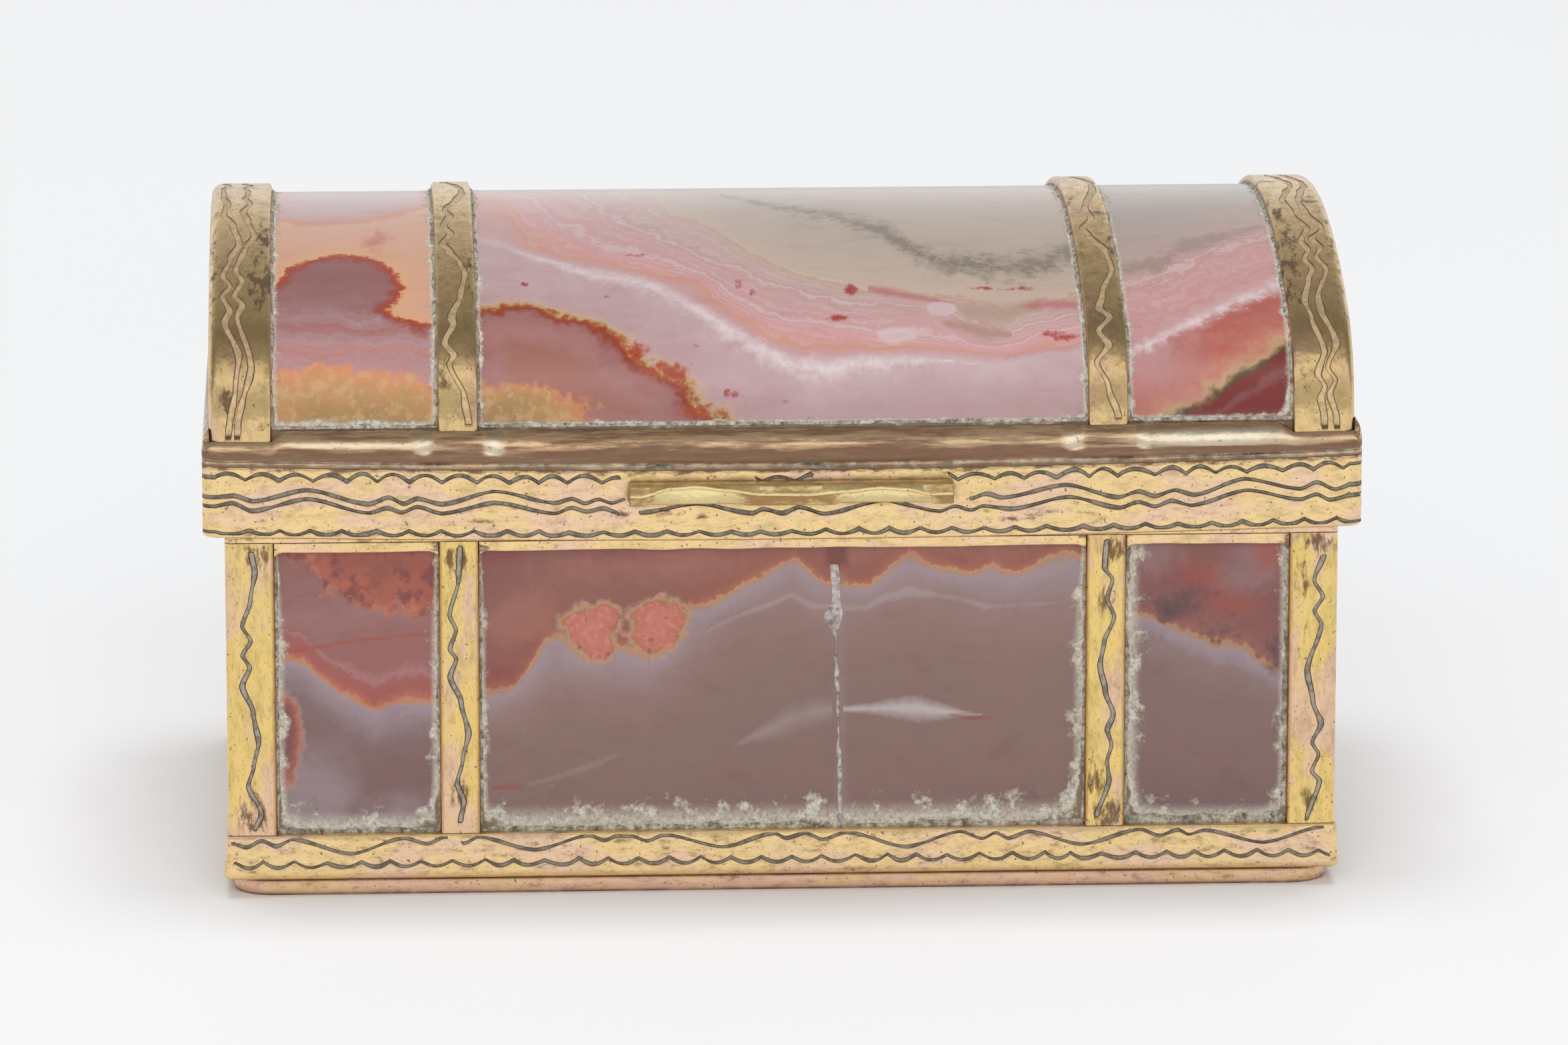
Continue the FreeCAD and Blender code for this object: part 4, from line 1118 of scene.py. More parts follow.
@dataclass
class Collar:
    """Engraved rim of the lid with its inner flange, and the thumbpiece on its front."""

    finishes: Finishes
    bottom: float = 22.6
    top: float = RIM_TOP
    upper: tuple = (
        (-34.6, 25.1), (-33.1, 25.2), (-31.9, 24.85), (-28.7, 25.5), (-25, 24.6), (-23.8, 25), (-22.9, 24.6),
        (-22.1, 24.9), (-20.6, 24.55), (-17.4, 25.3), (-13.8, 24.55), (-12.8, 24.8), (-12, 24.5), (-11.2, 24.75),
        (-10.4, 24.5), (-9.4, 24.8), (11.2, 24.55), (12.2, 24.85), (13.2, 24.6), (17, 25.35), (20.2, 24.55),
        (21.4, 24.9), (22.4, 24.6), (23.6, 24.95), (24.8, 24.65), (27.8, 25.6), (31.2, 24.95), (32.2, 25.35),
        (33.3, 24.9), (34.6, 25.3))
    lower: tuple = (
        (-34.6, 24.5), (-33.2, 24.75), (-32, 24.25), (-28.7, 24.95), (-25, 24.05), (-23.9, 24.35), (-23, 24.07),
        (-22.1, 24.4), (-20.6, 23.97), (-17.4, 24.6), (-13.8, 23.9), (-12.8, 24.25), (-11.9, 24), (-10.9, 24.2),
        (-10, 23.9), (-8.6, 23.9), (-5.3, 24.42), (-1.9, 23.8), (-1.3, 24.05), (-0.1, 23.78), (0.9, 24.15),
        (2.4, 23.72), (6, 24.5), (9.4, 23.8), (10.3, 24.1), (11.3, 23.85), (12, 24.1), (13.7, 23.9), (17.2, 24.6),
        (20.3, 23.9), (21.4, 24.25), (22.4, 23.95), (23.4, 24.3), (24.6, 24), (28, 24.9), (31.2, 24.3), (32.2, 24.6),
        (33, 24.25), (34.6, 24.6))
    smudges: tuple = (
        (15.2, 23.42, 3.4, 0.3), (-17.5, 23.9, 2.6, 0.32), (-31, 23.35, 2, 0.24), (-12.6, 23.45, 0.5, 0.22),
        (-5, 23.65, 1, 0.25), (-6.8, 24, 0.9, 0.2), (-9.6, 23.9, 0.8, 0.3), (-29, 22.9, 2.2, 0.2),
        (-23.5, 22.85, 2, 0.2))

    def build(self) -> None:
        """Model the rim."""
        ring = Ring(RIM_X, RIM_Y, 0.8)
        x, top, bottom = ring.along, self.top, self.bottom
        front = ring.side == 1
        hang_top, hang_low = (np.where(front, sag(x, depth), 0.0) for depth in (RIM_SAG, 0.5))
        top_line = Scallops(-34.3, 34.5, lambda a: 25.7 + 0.5 * (np.abs(a) / 34) ** 2.2, Cusp.DOWN, 1.95, 0.42, 5,
                            ((-9.9, -1.75), (1.75, 9.9)))
        base_line = Scallops(-34.2, 34.4, lambda a: 22.48 + 0.36 * (np.abs(a) / 34) ** 2.2, Cusp.UP, 1.93, 0.26, 8)
        double = (Wriggle(self.lower, ((-10.0, -8.7),)), Wriggle(self.upper, ((-9.6, 11.2),)))
        graver = Graver(0.28, 0.075)
        across, cut = graver.rows(x, bottom + 0.2 - hang_low, top - 0.1 - hang_top, (base_line, *double, top_line))
        upper_edge = ((-0.03, top - 0.03), (-0.12, top), (-0.95, top))
        inside = (
            (-1.0, top - 0.6), (-1.0, 23.45), (-1.05, 23.4), (-2.45, 23.4), (-2.5, 23.35), (-2.5, 22.65),
            (-2.45, 22.6), (-1.0, 22.6))
        lower_edge = ((-0.3, bottom), (-0.14, bottom + 0.03), (-0.04, bottom + 0.1))
        out, height = [-graver.depth * cut], [across]
        for points, hang in ((upper_edge, hang_top), (inside, np.zeros(x.shape)), (lower_edge, hang_low)):
            reach, rise = repeated(points, len(x))
            out.append(reach)
            height.append(rise - hang[:, None])
        z = np.concatenate(height, 1)
        stain = np.clip(Blobs(self.smudges).value(np.broadcast_to(x[:, None], z.shape), z), -0.6, 0.4) + 0.12
        # Painted shade, partly dirt: the rim darkens over 0.55 mm below its top, under the moulding's lip.
        seam = 0.55 - (top - hang_top[:, None] - z) / 0.55
        stain = np.where(front[:, None], np.maximum(stain, seam), np.clip(seam, -0.6, 1))
        marks = {"groove": np.pad(cut, ((0, 0), (0, z.shape[1] - cut.shape[1]))), "smudge": stain}
        obj = lattice("collar_engraved", ring.spread(np.concatenate(out, 1), z), True, True, marks)
        settle(obj, self.finishes.gilt, "lid", "lid_collar")
        self.thumb()

    def thumb(self) -> None:
        """Model the bar: sloped above its ridge, with two long hollows below."""
        start, end, seat, front = -9.35, 10.15, -22.75, -23.9
        x = np.concatenate([[start], np.linspace(start + 0.06, end - 0.06, 260), [end]])
        ridge = Wriggle(((start, 25.1), (-8.7, 25.08), (-6.9, 25.55), (-5.4, 25.66), (-3.6, 25.45), (-1.4, 25.17),
                         (1.4, 25.12), (3.6, 25.3), (5.8, 25.5), (7.4, 25.38), (8.8, 25.1), (end, 25.1))).across(x)
        hollow = np.clip(np.minimum((x + 8.3) / 0.3, (-2.3 - x) / 0.3), 0, 1)
        hollow += np.clip(np.minimum((x - 3.0) / 0.3, (9.0 - x) / 0.3), 0, 1)
        close = np.where((x == start) | (x == end), 0.08, 0.0)
        low = 24.5 + 0.08 * hollow
        tall = ridge - low
        lip = front + close
        scoop = 0.05 + 0.22 * hollow
        spine = [(seat + 0 * x, 25.8 - close), (-23.15 + 0 * x, 25.79 - close), (-23.5 + close, 25.76 - close),
                 (-23.7 + close, np.maximum(ridge + 0.13, 25.64 - close)), (lip + 0.07, ridge + 0.12),
                 (lip + 0.05, ridge + 0.1), (lip, ridge), (lip + 0.03, ridge - 0.06), (lip + 0.07, ridge - 0.09),
                 (lip + scoop, ridge - 0.15), (lip + scoop, ridge - 0.5 * tall), (lip + 0.7 * scoop, low + 0.06),
                 (lip + 0.75 * scoop + 0.06, low), (seat + 0 * x, low)]
        grid = np.stack([np.stack([x, y, z], 1) for y, z in spine], 1)
        dull = [0.5, 0.42, 0.4, 0.42, 0.5, -0.6, -0.6, -0.6, 0.7, 0.6, 0.55, 0.5, 0.4, 0.5]
        # Painted highlight in the two hollows: their faces lose stain and are lifted towards the highlight tint.
        clean_and_highlit = np.exp(-((x + 5.3) / 2.3) ** 4) + np.exp(-((x - 6.0) / 2.3) ** 4)
        stain = np.stack([share - (clean_and_highlit if 8 < row < 13 else 0 * x) for row, share in enumerate(dull)], 1)
        # Painted highlight along the ridge rows too.
        bright = np.zeros(stain.shape)
        bright[:, 5:8] = 1.0
        bright[:, 9:12] = 0.9 * clean_and_highlit[:, None]
        obj = lattice("thumbpiece_hollowed", grid, True, False, {"smudge": stain, "gleam": bright})
        settle(obj, self.finishes.thumb, "lid", "thumbpiece")


@dataclass
class Bezel:
    """Moulding folded over the foot of the vault's stone, pushed out where it covers strap ends."""

    finishes: Finishes
    profile: tuple = (
        (0.0, 0.0, 0.0, 0.0), (0.0, 0.26, 0.0, 0.0), (-0.06, 0.33, 0.0, -0.06), (-0.03, 0.42, 0.1, -0.03),
        (0.05, 0.55, 0.16, 0.0), (0.06, 0.75, 0.2, 0.0), (0.0, 1.05, 0.26, -0.02), (-0.12, 1.33, 0.32, -0.06),
        (-0.3, 1.6, 0.38, -0.13), (-0.52, 1.82, 0.43, -0.22), (-0.76, 1.99, 0.47, -0.32), (-0.88, 2.07, 0.49, -0.39),
        (-0.93, 2.1, 0.5, -0.42))
    green: tuple = ((-7.7, 0, 2.4, 1), (2, 0, 1.6, 1), (8, 0, 0.9, 1), (28.4, 0, 3.6, 1))

    def build(self) -> None:
        """Model the moulding: a profile row is its reach over stone, rise, swell over straps and reach at the ends."""
        ring = Ring(RIM_X, RIM_Y, 0.8, 0.2)
        x = ring.along
        long_side = np.isin(ring.side, (1, 3))
        hang = np.where(ring.side == 1, sag(x, RIM_SAG), 0.0)
        cover = np.zeros(x.shape)
        for centre in (-STRAP_X, STRAP_X):
            away = np.clip((np.abs(x - centre) - 1.3) / 1.7, 0, 1)
            cover = np.maximum(cover, np.where(long_side, 1 - ease(away), 0))
        # Painted highlight: strongest on the flanks of the swells over the straps and in a run towards the right of
        # each long side, with a weaker run towards the left in the middle rows.
        gleam = np.maximum(4 * cover * (1 - cover), np.exp(-((x - 26.0) / 4.5) ** 4))
        highlight_runs = np.maximum(gleam, 0.75 * np.exp(-((x + 25.6) / 4.4) ** 4))
        end = np.where(long_side, np.clip((np.abs(x) - 30.1) / 0.7, 0, 1), 1.0)
        squash = 1 - 0.4 * np.where(long_side, end, np.where(ring.side < 0, 1.0, 0.0))
        wave = 0.03 * ripple(21, np.arange(len(x)) * 0.2, 7.0) * (1 - end)
        spots = 0.62 + 0.38 * np.clip(Blobs(self.green).value(x, np.zeros(x.shape)), 0, 1)
        worn = 0.07 * np.exp(-(x / 12.0) ** 4)
        plain = np.zeros(x.shape)
        out, height, stain, bloom, bright = [], [], [], [], []
        for reach, rise, swell, short in self.profile:
            over_stone = reach + swell * cover + wave * min(1.0, 2 * swell)
            out.append(over_stone * (1 - end) + short * end)
            tall = np.where(rise > 0.4, 0.4 + (rise - 0.4) * squash, rise)
            height.append(RIM_TOP + tall - hang * (1 - 0.55 * rise / 2.1))
            # Stain by height, partly tarnish and partly painted shade: dark at the seam under the lip, painted darker
            # in the lower band under the roll, lighter in the middle and the top, a little more towards the middle of
            # each side, and taken off where the highlight is painted.
            dull = float(np.interp(rise, (0.0, 0.2, 0.3, 0.42, 0.95, 1.2, 1.45, 1.7, 2.1),
                                   (0.75, 0.2, 0.35, 0.72, 0.7, 0.4, 0.36, 0.46, 0.46)))
            shine = highlight_runs if 1.2 < rise < 1.5 else gleam
            stain.append(dull + worn - (0.75 * shine if rise > 1.0 else 0.0))
            bloom.append(spots if 0.2 < rise < 0.4 else plain)
            bright.append(shine if 1.0 < rise < 1.7 else plain)
        inner = -0.95 + 0.5 * np.maximum(cover, end)
        for reach, level in ((inner, height[-1] - 0.06), (inner, 27.75), (inner - 0.05, 27.7), (-3.35, 27.7),
                             (-3.4, 27.65), (-3.4, 27.05), (-3.35, RIM_TOP), (-1.0, RIM_TOP - hang)):
            out.append(reach + plain)
            height.append(level + plain)
            stain.append(0.4 + plain)
            bloom.append(plain)
            bright.append(plain)
        grid = ring.spread(np.stack(out, 1), np.stack(height, 1))
        marks = {"smudge": np.stack(stain, 1), "verdigris": np.stack(bloom, 1), "gleam": np.stack(bright, 1)}
        obj = lattice("bezel_moulded", grid, True, True, marks)
        settle(obj, self.finishes.bezel, "lid", "lid_bezel")


@dataclass
class VaultCage:
    """End bands and straps bent over the vaulted lid."""

    finishes: Finishes
    end: float = 34.55
    band: float = 3.75
    strap: float = 2.4
    smudges: tuple = (
        (-31.5, 11.5, 1, 4.2), (-31.2, 17, 0.5, 3), (-34.2, 13, 0.35, 6), (-33.4, 1.5, 0.5, 1.5),
        (31.4, 12.5, 0.85, 6), (31.2, 20, 0.6, 2.5), (34.2, 14, 0.35, 5), (20.6, 15, 0.3, 4), (-20.6, 4, 0.3, 2.5),
        (-18.7, 12, 0.3, 4))
    left_pair: tuple = (
        ((-0.2, 1.2), (2.76, 1.65), (4.5, 1.85), (7.2, 1), (8.35, 1.3), (9.8, 0.87), (11, 1.3), (12.2, 0.87),
        (14.2, 1.3), (16.3, 1.85), (19.2, 1.45), (21.3, 0.87), (23.6, 1.08), (25.7, 0.75), (26.1, 0.8)),
        ((-0.2, 1.72), (0.4, 1.75), (3.9, 2.58), (7.76, 1.75), (8.9, 2.05), (9.97, 1.6), (11.6, 2.05), (12.8, 1.65),
        (15.7, 2.2), (17.5, 2.75), (20.1, 2.35), (21.9, 2.05), (23.6, 2.45), (25.1, 2.15), (26.1, 2.3)))
    right_pair: tuple = (
        ((-0.2, 1.15), (0.1, 1.15), (1.6, 1.55), (2.4, 1.2), (3.2, 1.65), (4.8, 1.05), (7.5, 1.8), (8.6, 1.85),
        (11.9, 1.05), (13.35, 1.5), (14.5, 1.15), (15.7, 1.55), (17.2, 0.75), (20.1, 1.55), (22.2, 1.71),
        (24.5, 1.35), (26.1, 0.95)),
        ((-0.2, 1.89), (0.1, 1.89), (1.3, 2.09), (2, 1.85), (2.8, 2.25), (4.2, 1.8), (6.6, 2.39), (8.35, 2.68),
        (10.7, 2.25), (11.9, 1.89), (13.06, 2.25), (14.2, 1.95), (15.4, 2.25), (17.2, 1.71), (19.8, 2.39),
        (22.5, 2.68), (24.5, 2.25), (26.1, 1.8)))
    left_strap: tuple = (
        (0.2, 0.65), (1.9, 0.4), (3.94, -0.48), (4.5, -0.2), (5.4, -0.75), (6.9, -0.2), (7.4, -0.3), (9.8, 0.3),
        (12.2, 0.6), (13.6, 0.3), (15.1, -0.34), (16.1, -0.7), (17.6, -0.2), (18.9, -0.6), (20.7, -0.2),
        (21.9, -0.48), (24.2, 0.25), (26.1, 0.6))
    right_strap: tuple = (
        (0.2, 0.6), (2.2, 0), (3.65, -0.66), (4.8, 0.1), (5.85, -0.45), (7, 0.3), (7.8, -0.3), (9.2, 0), (12.2, 0.8),
        (14.2, 0.6), (16.6, -0.3), (17.5, -0.55), (19.2, 0.1), (20.7, -0.15), (26.1, 0.75))

    def over(self, arch: Arch, turns: tuple) -> Wriggle:
        """Line carried over the crown and down the back."""
        back = tuple((arch.length - along, across) for along, across in turns if along < arch.middle - 0.3)
        front = tuple(turn for turn in turns if turn[0] < arch.middle - 0.3)
        return Wriggle(front + back)

    def lay(self, node: str, graver: Graver, edges: Point, lines: Sequence[tuple], rest: Sequence[Point],
            place: Callable[[Array], Array]) -> None:
        """Bend one engraved strip over the vault and settle it.

        Args:
            node: CAD node that it stands for.
            graver: tool that cuts its lines.
            edges: lower and upper edge of its face.
            lines: turning points of each engraved line.
            rest: plain remainder of its section, as places across and depths.
            place: gives X from places across the strip.
        """
        arch = Arch()
        stations = arch.stations(VAULT_LEG, 0.16)
        across, inset, cut = graver.strip(stations, edges, [self.over(arch, turns) for turns in lines], rest)
        x, along = place(across), np.broadcast_to(stations[:, None], across.shape)
        y, z = arch.places(along, inset)
        # Painted shade on the sides and back of each strip, not on its face at the casket's ends.
        shaded_edge = np.where((inset > 0.15) & (self.end - np.abs(x) > 0.45), 1.0, 0.0)
        stain = np.clip(1.6 * Blobs(self.smudges).value(x, along), -0.6, 0.55)
        marks = {"groove": cut, "bronze": shaded_edge, "smudge": stain}
        obj = lattice(f"{node}_engraved", np.stack([x, y, z], axis=2), True, False, marks)
        settle(obj, self.finishes.band, "lid", node)

    def build(self) -> None:
        """Model bands and straps."""
        band, half = self.band, self.strap / 2
        angle = (
            (band - 0.07, 0.07), (band, 0.24), (band, 0.5), (0.5, 0.5), (0.5, 3.0), (0.05, 3.0), (0.0, 2.95),
            (0.0, 0.8), (0.04, 0.5), (0.16, 0.26), (0.36, 0.08))
        for side, pair, turns in ((Side.LEFT, self.left_pair, self.left_strap),
                                  (Side.RIGHT, self.right_pair, self.right_strap)):
            sign = side.value
            self.lay(f"lid_end_band_{side.tag}", Graver(0.46, 0.1, 0.55), (0.62, band - 0.2), pair, angle,
                     lambda across, sign=sign: sign * (self.end - across))
            self.lay(f"lid_strap_{side.tag}", Graver(0.5, 0.1, 0.58), (0.2 - half, half - 0.2), (turns,),
                     tee_back(half), lambda across, sign=sign: sign * STRAP_X + across)


def shifted(points: Sequence[Point], rise: float) -> tuple:
    """Height line moved up by a distance."""
    return tuple((x, t + rise) for x, t in points)


def flat(height: float) -> tuple:
    """Straight height line."""
    return ((-40.0, height), (40.0, height))


class StoneBook:
    """Colourings of the stone panels, drawn as height lines, regions and wisps."""

    CENTRE_EDGE = (
        (-18.5, 12.3), (-17.7, 12.48), (-16.33, 12.73), (-15.33, 13.85), (-14.45, 15.35), (-13.58, 16.1),
        (-12.7, 14.98), (-11.2, 14.23), (-10.2, 15.1), (-8.45, 14.4), (-6.95, 14.98), (-6.08, 16.35), (-5.7, 17.5),
        (-4.7, 17.65), (-3.7, 18.1), (-2.45, 18.8), (-1.2, 19.35), (-0.2, 19.98), (0.68, 20.5), (1.55, 19.7),
        (2.55, 18.98), (3.68, 18.9), (5.05, 18.9), (5.93, 19.48), (6.8, 20.23), (7.8, 20.8), (8.68, 20.2),
        (9.55, 19.73), (10.8, 19.48), (12.05, 19.6), (12.8, 20.1), (13.55, 19.6), (14.8, 19.48), (16.3, 20.23),
        (17.3, 20.6), (18.5, 20.1))
    CENTRE_HALO = (
        (-18.5, 10.6), (-15.5, 11.8), (-14, 13.2), (-12.5, 12.9), (-10.5, 12.7), (-8.5, 12.6), (-6.5, 13.6),
        (-5, 15.6), (-3.2, 16.85), (-1.2, 17.6), (0.55, 18.35), (1.8, 17.6), (5.05, 17.48), (6.3, 18.1), (7.8, 18.48),
        (9.3, 18.23), (10.8, 17.98), (12.3, 17.48), (13.8, 17.23), (16.3, 17.6), (18.5, 17.4))
    WALL_STOPS = (
        (-14, 134, 104, 100), (-9, 138, 111, 104), (-5, 140, 113, 107), (-2.6, 150, 122, 116), (-1.7, 154, 128, 126),
        (-0.9, 160, 138, 142), (-0.4, 164, 148, 156), (-0.14, 172, 146, 138), (0, 184, 138, 108),
        (0.12, 198, 152, 116), (0.26, 170, 108, 84), (0.6, 154, 94, 80), (1, 150, 94, 82), (2, 146, 98, 88),
        (3.2, 132, 86, 80))
    FEATHER_STOPS = ((-0.5, 222, 204, 208, 0), (0.4, 226, 212, 216, 0.45), (1.2, 234, 222, 226, 0.8))

    def front_centre(self) -> Agate:
        """Long front panel: red above a scalloped seam, mauve below, two nodules and a white wisp."""
        edge = self.CENTRE_EDGE
        base = Layer(
            Contours(((-14, flat(3)), (-1.72, self.CENTRE_HALO), (0, edge), (1, shifted(edge, 1.1)),
            (3.2, flat(22.6)))), self.WALL_STOPS, 0.12, 0.13, lump=0.06)
        veil = Layer(
            Blobs(((-7, 20.4, 5.5, 1), (-15.6, 17, 1.8, 1.5), (11, 21.3, 5, 0.6))), ((-0.7, 172, 112, 100, 0),
            (0.6, 174, 116, 104, 0.55)), 0.3, 0.2, lump=0.35)
        blush = Layer(
            Blobs(((-17.4, 13.7, 1.3, 0.9), (-16.6, 21.3, 1.2, 0.9))), ((-0.5, 150, 76, 80, 0),
            (0.6, 142, 66, 74, 0.6)), 0.2, 0.2)
        halo = Layer(
            Streak(((-5, 15.9, 0.06), (-3.2, 16.85, 0.16), (-1.2, 17.6, 0.2), (0.55, 18.35, 0.22), (1.8, 17.6, 0.18),
            (5.05, 17.48, 0.2), (6.3, 18.1, 0.24), (7.8, 18.48, 0.24), (9.3, 18.23, 0.22), (10.8, 17.98, 0.2),
            (12.3, 17.48, 0.16), (16.3, 17.6, 0.1), (18.5, 17.4, 0.05))), ((-0.4, 176, 160, 162, 0),
            (0.6, 178, 164, 166, 0.5)), 0.25, 0.2)
        left = (
            (-13.5, 16.9), (-12.8, 17.5), (-11.9, 17.8), (-10.8, 17.85), (-10.1, 17.5), (-9.85, 16.9), (-10.2, 16.1),
            (-10.15, 15.3), (-10.55, 14.55), (-11.3, 14.3), (-12.1, 14.7), (-12.8, 15.4), (-13.2, 16.1))
        right = (
            (-9.3, 17.1), (-8.7, 17.95), (-7.6, 18.25), (-6.3, 18.1), (-5.7, 17.35), (-5.9, 16.25), (-6.5, 15.3),
            (-7.5, 14.7), (-8.5, 14.8), (-9.3, 15.3), (-9.7, 15.9), (-9.1, 16.25))
        nodules = Layer(
            Region((left, right)), ((-0.4, 164, 146, 140, 0), (-0.18, 176, 144, 110, 0.7), (0, 190, 152, 114),
            (0.12, 170, 116, 86), (0.28, 196, 116, 98), (1, 202, 124, 110), (1.7, 198, 126, 112)), 0.05, 0.12,
            lump=0.26, mottle=(hue(220, 154, 140), 0.45, 2.4))
        pits = Layer(
            Blobs(((-10.6, 14.8, 0.12, 0.1), (-8.1, 14.95, 0.1, 0.13), (-8, 15.6, 0.13, 0.1), (-9.8, 17.1, 0.14, 0.1),
            (-12.3, 15.2, 0.1, 0.09), (-11.9, 16.9, 0.08, 0.08), (-7.1, 17, 0.09, 0.08), (-10.9, 16.2, 0.08, 0.07))),
            ((-0.1, 110, 70, 56, 0), (0.06, 92, 56, 46, 0.8)), 0, 0.06)
        drip = Layer(
            Blobs(((-8.15, 13.9, 0.06, 0.6),)), ((-0.1, 170, 130, 112, 0), (0.06, 172, 124, 98, 0.75)), 0, 0.06)
        wisp = Layer(
            Streak(((3.5, 11.2, 0.16), (5.2, 11.2, 0.28), (6.6, 11.22, 0.5), (8.2, 11.2, 0.72), (9.6, 11, 0.45),
            (11, 10.85, 0.18), (12.2, 10.75, 0.05))), ((-0.4, 180, 168, 168, 0), (0.1, 186, 176, 176, 0.4),
            (0.8, 204, 198, 200, 0.75)), 0.05, 0.14)
        plume = Layer(
            Streak(((-3.2, 8.9, 0.02), (-1, 9.9, 0.4), (0.4, 10.6, 0.65), (2, 11, 0.6), (3.1, 11.2, 0.4))),
            ((-0.8, 164, 148, 146, 0), (0.3, 172, 160, 160, 0.3), (1, 178, 166, 166, 0.45)), 0.12, 0.12)
        ember = Layer(
            Streak(((-17.9, 6.5, 0.12), (-16.4, 6.6, 0.2), (-15.4, 6.6, 0.05), (-13, 6.6, 0), (10, 10.72, 0),
            (10.3, 10.72, 0.1), (11.6, 10.52, 0.16), (12.9, 10.6, 0.1))), ((-0.4, 160, 76, 70, 0),
            (0.6, 158, 70, 66, 0.7)), 0.05, 0.1)
        stain = Layer(
            Region((((2.6, 20.1), (3.9, 20.1), (3.8, 22.6), (2.5, 22.6)),)), ((-0.2, 130, 80, 68, 0),
            (0.2, 116, 64, 52, 0.75)), 0.05, 0.1)
        # Painted highlight: a lighter strip along the crack.
        painted_crack_glint = Layer(
            Region((((3.3, 4), (3.95, 4), (3.75, 19.6), (3.1, 19.6)),)), ((-0.2, 158, 134, 130, 0),
            (0.3, 162, 140, 136, 0.4)), 0.03, 0.05)
        trace = Layer(
            Streak(((-15.6, 6.7, 0.1), (-13.5, 7.2, 0.22), (-11, 8.1, 0.25), (-9.8, 8.6, 0.05))),
            ((-0.6, 160, 140, 132, 0), (0.7, 164, 144, 136, 0.4)), 0.05, 0.15)
        layers = (base, veil, blush, halo, nodules, pits, drip, stain, painted_crack_glint, wisp, plume, ember, trace)
        return Agate("front_centre_agate", layers, Crust(0.6, 1, 2.15, 0.15, 6), 0.3)

    def front_left(self) -> Agate:
        """Left front panel: orange cloud, red seam and a lavender field."""
        edge = (
            (-31, 14.9), (-30, 14.85), (-29, 14.6), (-28, 13.5), (-27, 12.6), (-25.75, 12), (-24.75, 11.5),
            (-23.75, 12), (-22.5, 12.1), (-21.4, 12), (-20.5, 11.9))
        thread = ((-31, 14.95), (-29.9, 15.1), (-26, 15.75), (-21.9, 16.15), (-20.5, 16.25))
        stops = (
            (-9, 128, 99, 96), (-4, 130, 102, 99), (-2.2, 136, 110, 110), (-1.3, 150, 130, 136),
            (-0.6, 160, 144, 154), (-0.25, 168, 150, 154), (-0.1, 186, 142, 116), (0.05, 202, 138, 100),
            (0.22, 186, 112, 92), (0.6, 170, 94, 88), (1.25, 166, 96, 92), (1.6, 174, 124, 124),
            (1.95, 160, 104, 102), (2.85, 156, 106, 102), (4.5, 160, 118, 116), (6, 150, 104, 100), (7, 126, 82, 78))
        base = Layer(
            Contours(((-9, flat(3)), (-1.6, shifted(edge, -1.7)), (0, edge), (1.6, shifted(edge, 1.7)), (3, thread),
            (5, shifted(thread, 2.4)), (7, flat(22.6)))), stops, 0.1, 0.16, lump=0.08)
        bank = (
            (-31.5, 23.2), (-20, 23.2), (-20, 17.4), (-22, 17.2), (-23.2, 18), (-24.2, 17.4), (-26, 18.2),
            (-27.2, 18.9), (-28.4, 20), (-29, 20.7), (-31.5, 21.6))
        cloud = Layer(
            Region((bank,)), ((-0.2, 172, 116, 102, 0), (0.05, 190, 122, 96), (0.4, 180, 102, 80), (1.4, 168, 94, 76),
            (3, 146, 84, 72)), 0.1, 0.26, lump=0.5, mottle=(hue(126, 68, 66), 0.85, 0.9))
        haze = Layer(
            Blobs(((-28.6, 6, 3, 3.6), (-24, 4.6, 4, 1.6))), ((-0.8, 150, 130, 134, 0), (1.4, 160, 142, 148, 0.8)),
            0.3, 0.15)
        lens = Layer(
            Blobs(((-30.6, 9.8, 1.35, 2.7),)), ((-0.4, 176, 156, 158, 0), (-0.14, 186, 134, 112, 0.8),
            (0.08, 170, 100, 82), (0.35, 138, 84, 82), (1.2, 120, 72, 74)), 0.1, 0.14, lump=0.08)
        seam = Layer(
            Streak(tuple((x, t, 0.1) for x, t in thread)), ((-0.4, 168, 84, 70, 0), (0.4, 170, 84, 68, 0.9)), 0.05,
            0.15)
        return Agate("front_left_agate", (base, cloud, haze, lens, seam), Crust(0.85, 0.8, 1.8, 0.3, 6), 0.2)

    def front_right(self) -> Agate:
        """Right front panel: dusky red with dark clouds over a grey-mauve field."""
        edge = (
            (20.5, 17.2), (22, 16.85), (23, 16.35), (24.5, 15.5), (26, 15.2), (27.5, 15), (28.75, 14.2),
            (30.25, 13.5), (31.2, 13.3))
        stops = (
            (-11, 116, 92, 92), (-7, 134, 106, 101), (-3, 136, 110, 105), (-1.5, 144, 120, 118),
            (-0.8, 156, 138, 146), (-0.3, 164, 146, 150), (-0.1, 172, 138, 110), (0.06, 184, 136, 98),
            (0.2, 152, 100, 86), (1, 140, 90, 86), (2.4, 132, 84, 82), (4, 140, 90, 84), (6, 130, 82, 78))
        base = Layer(
            Contours(((-11, flat(3)), (-1.5, shifted(edge, -1.5)), (0, edge), (6, flat(22.6)))), stops, 0.16, 0.18,
            lump=0.16)
        fog = Layer(
            Blobs(((28.4, 19.6, 1.8, 1.8), (22.6, 20.6, 1.6, 1.4))), ((-0.7, 148, 112, 112, 0),
            (0.8, 152, 122, 126, 0.65)), 0.3, 0.25, lump=0.3)
        flame = Layer(
            Blobs(((27.6, 17.4, 1.8, 0.8), (29.6, 20.8, 0.8, 1), (25, 19.4, 1, 0.5))), ((-0.6, 170, 92, 78, 0),
            (0.6, 168, 82, 68, 0.6)), 0.3, 0.3, lump=0.4)
        dusk = Layer(
            Blobs(((24, 17.2, 1.2, 0.8), (30.4, 14.7, 0.7, 0.9), (26.4, 16.2, 0.8, 0.4))), ((-0.5, 104, 78, 80, 0),
            (0.2, 98, 72, 76, 0.6), (1.2, 80, 62, 66, 0.85)), 0.35, 0.4, lump=0.5)
        return Agate("front_right_agate", (base, fog, flame, dusk), Crust(1.3, 0.8, 1.6, 0.3), 0.2)

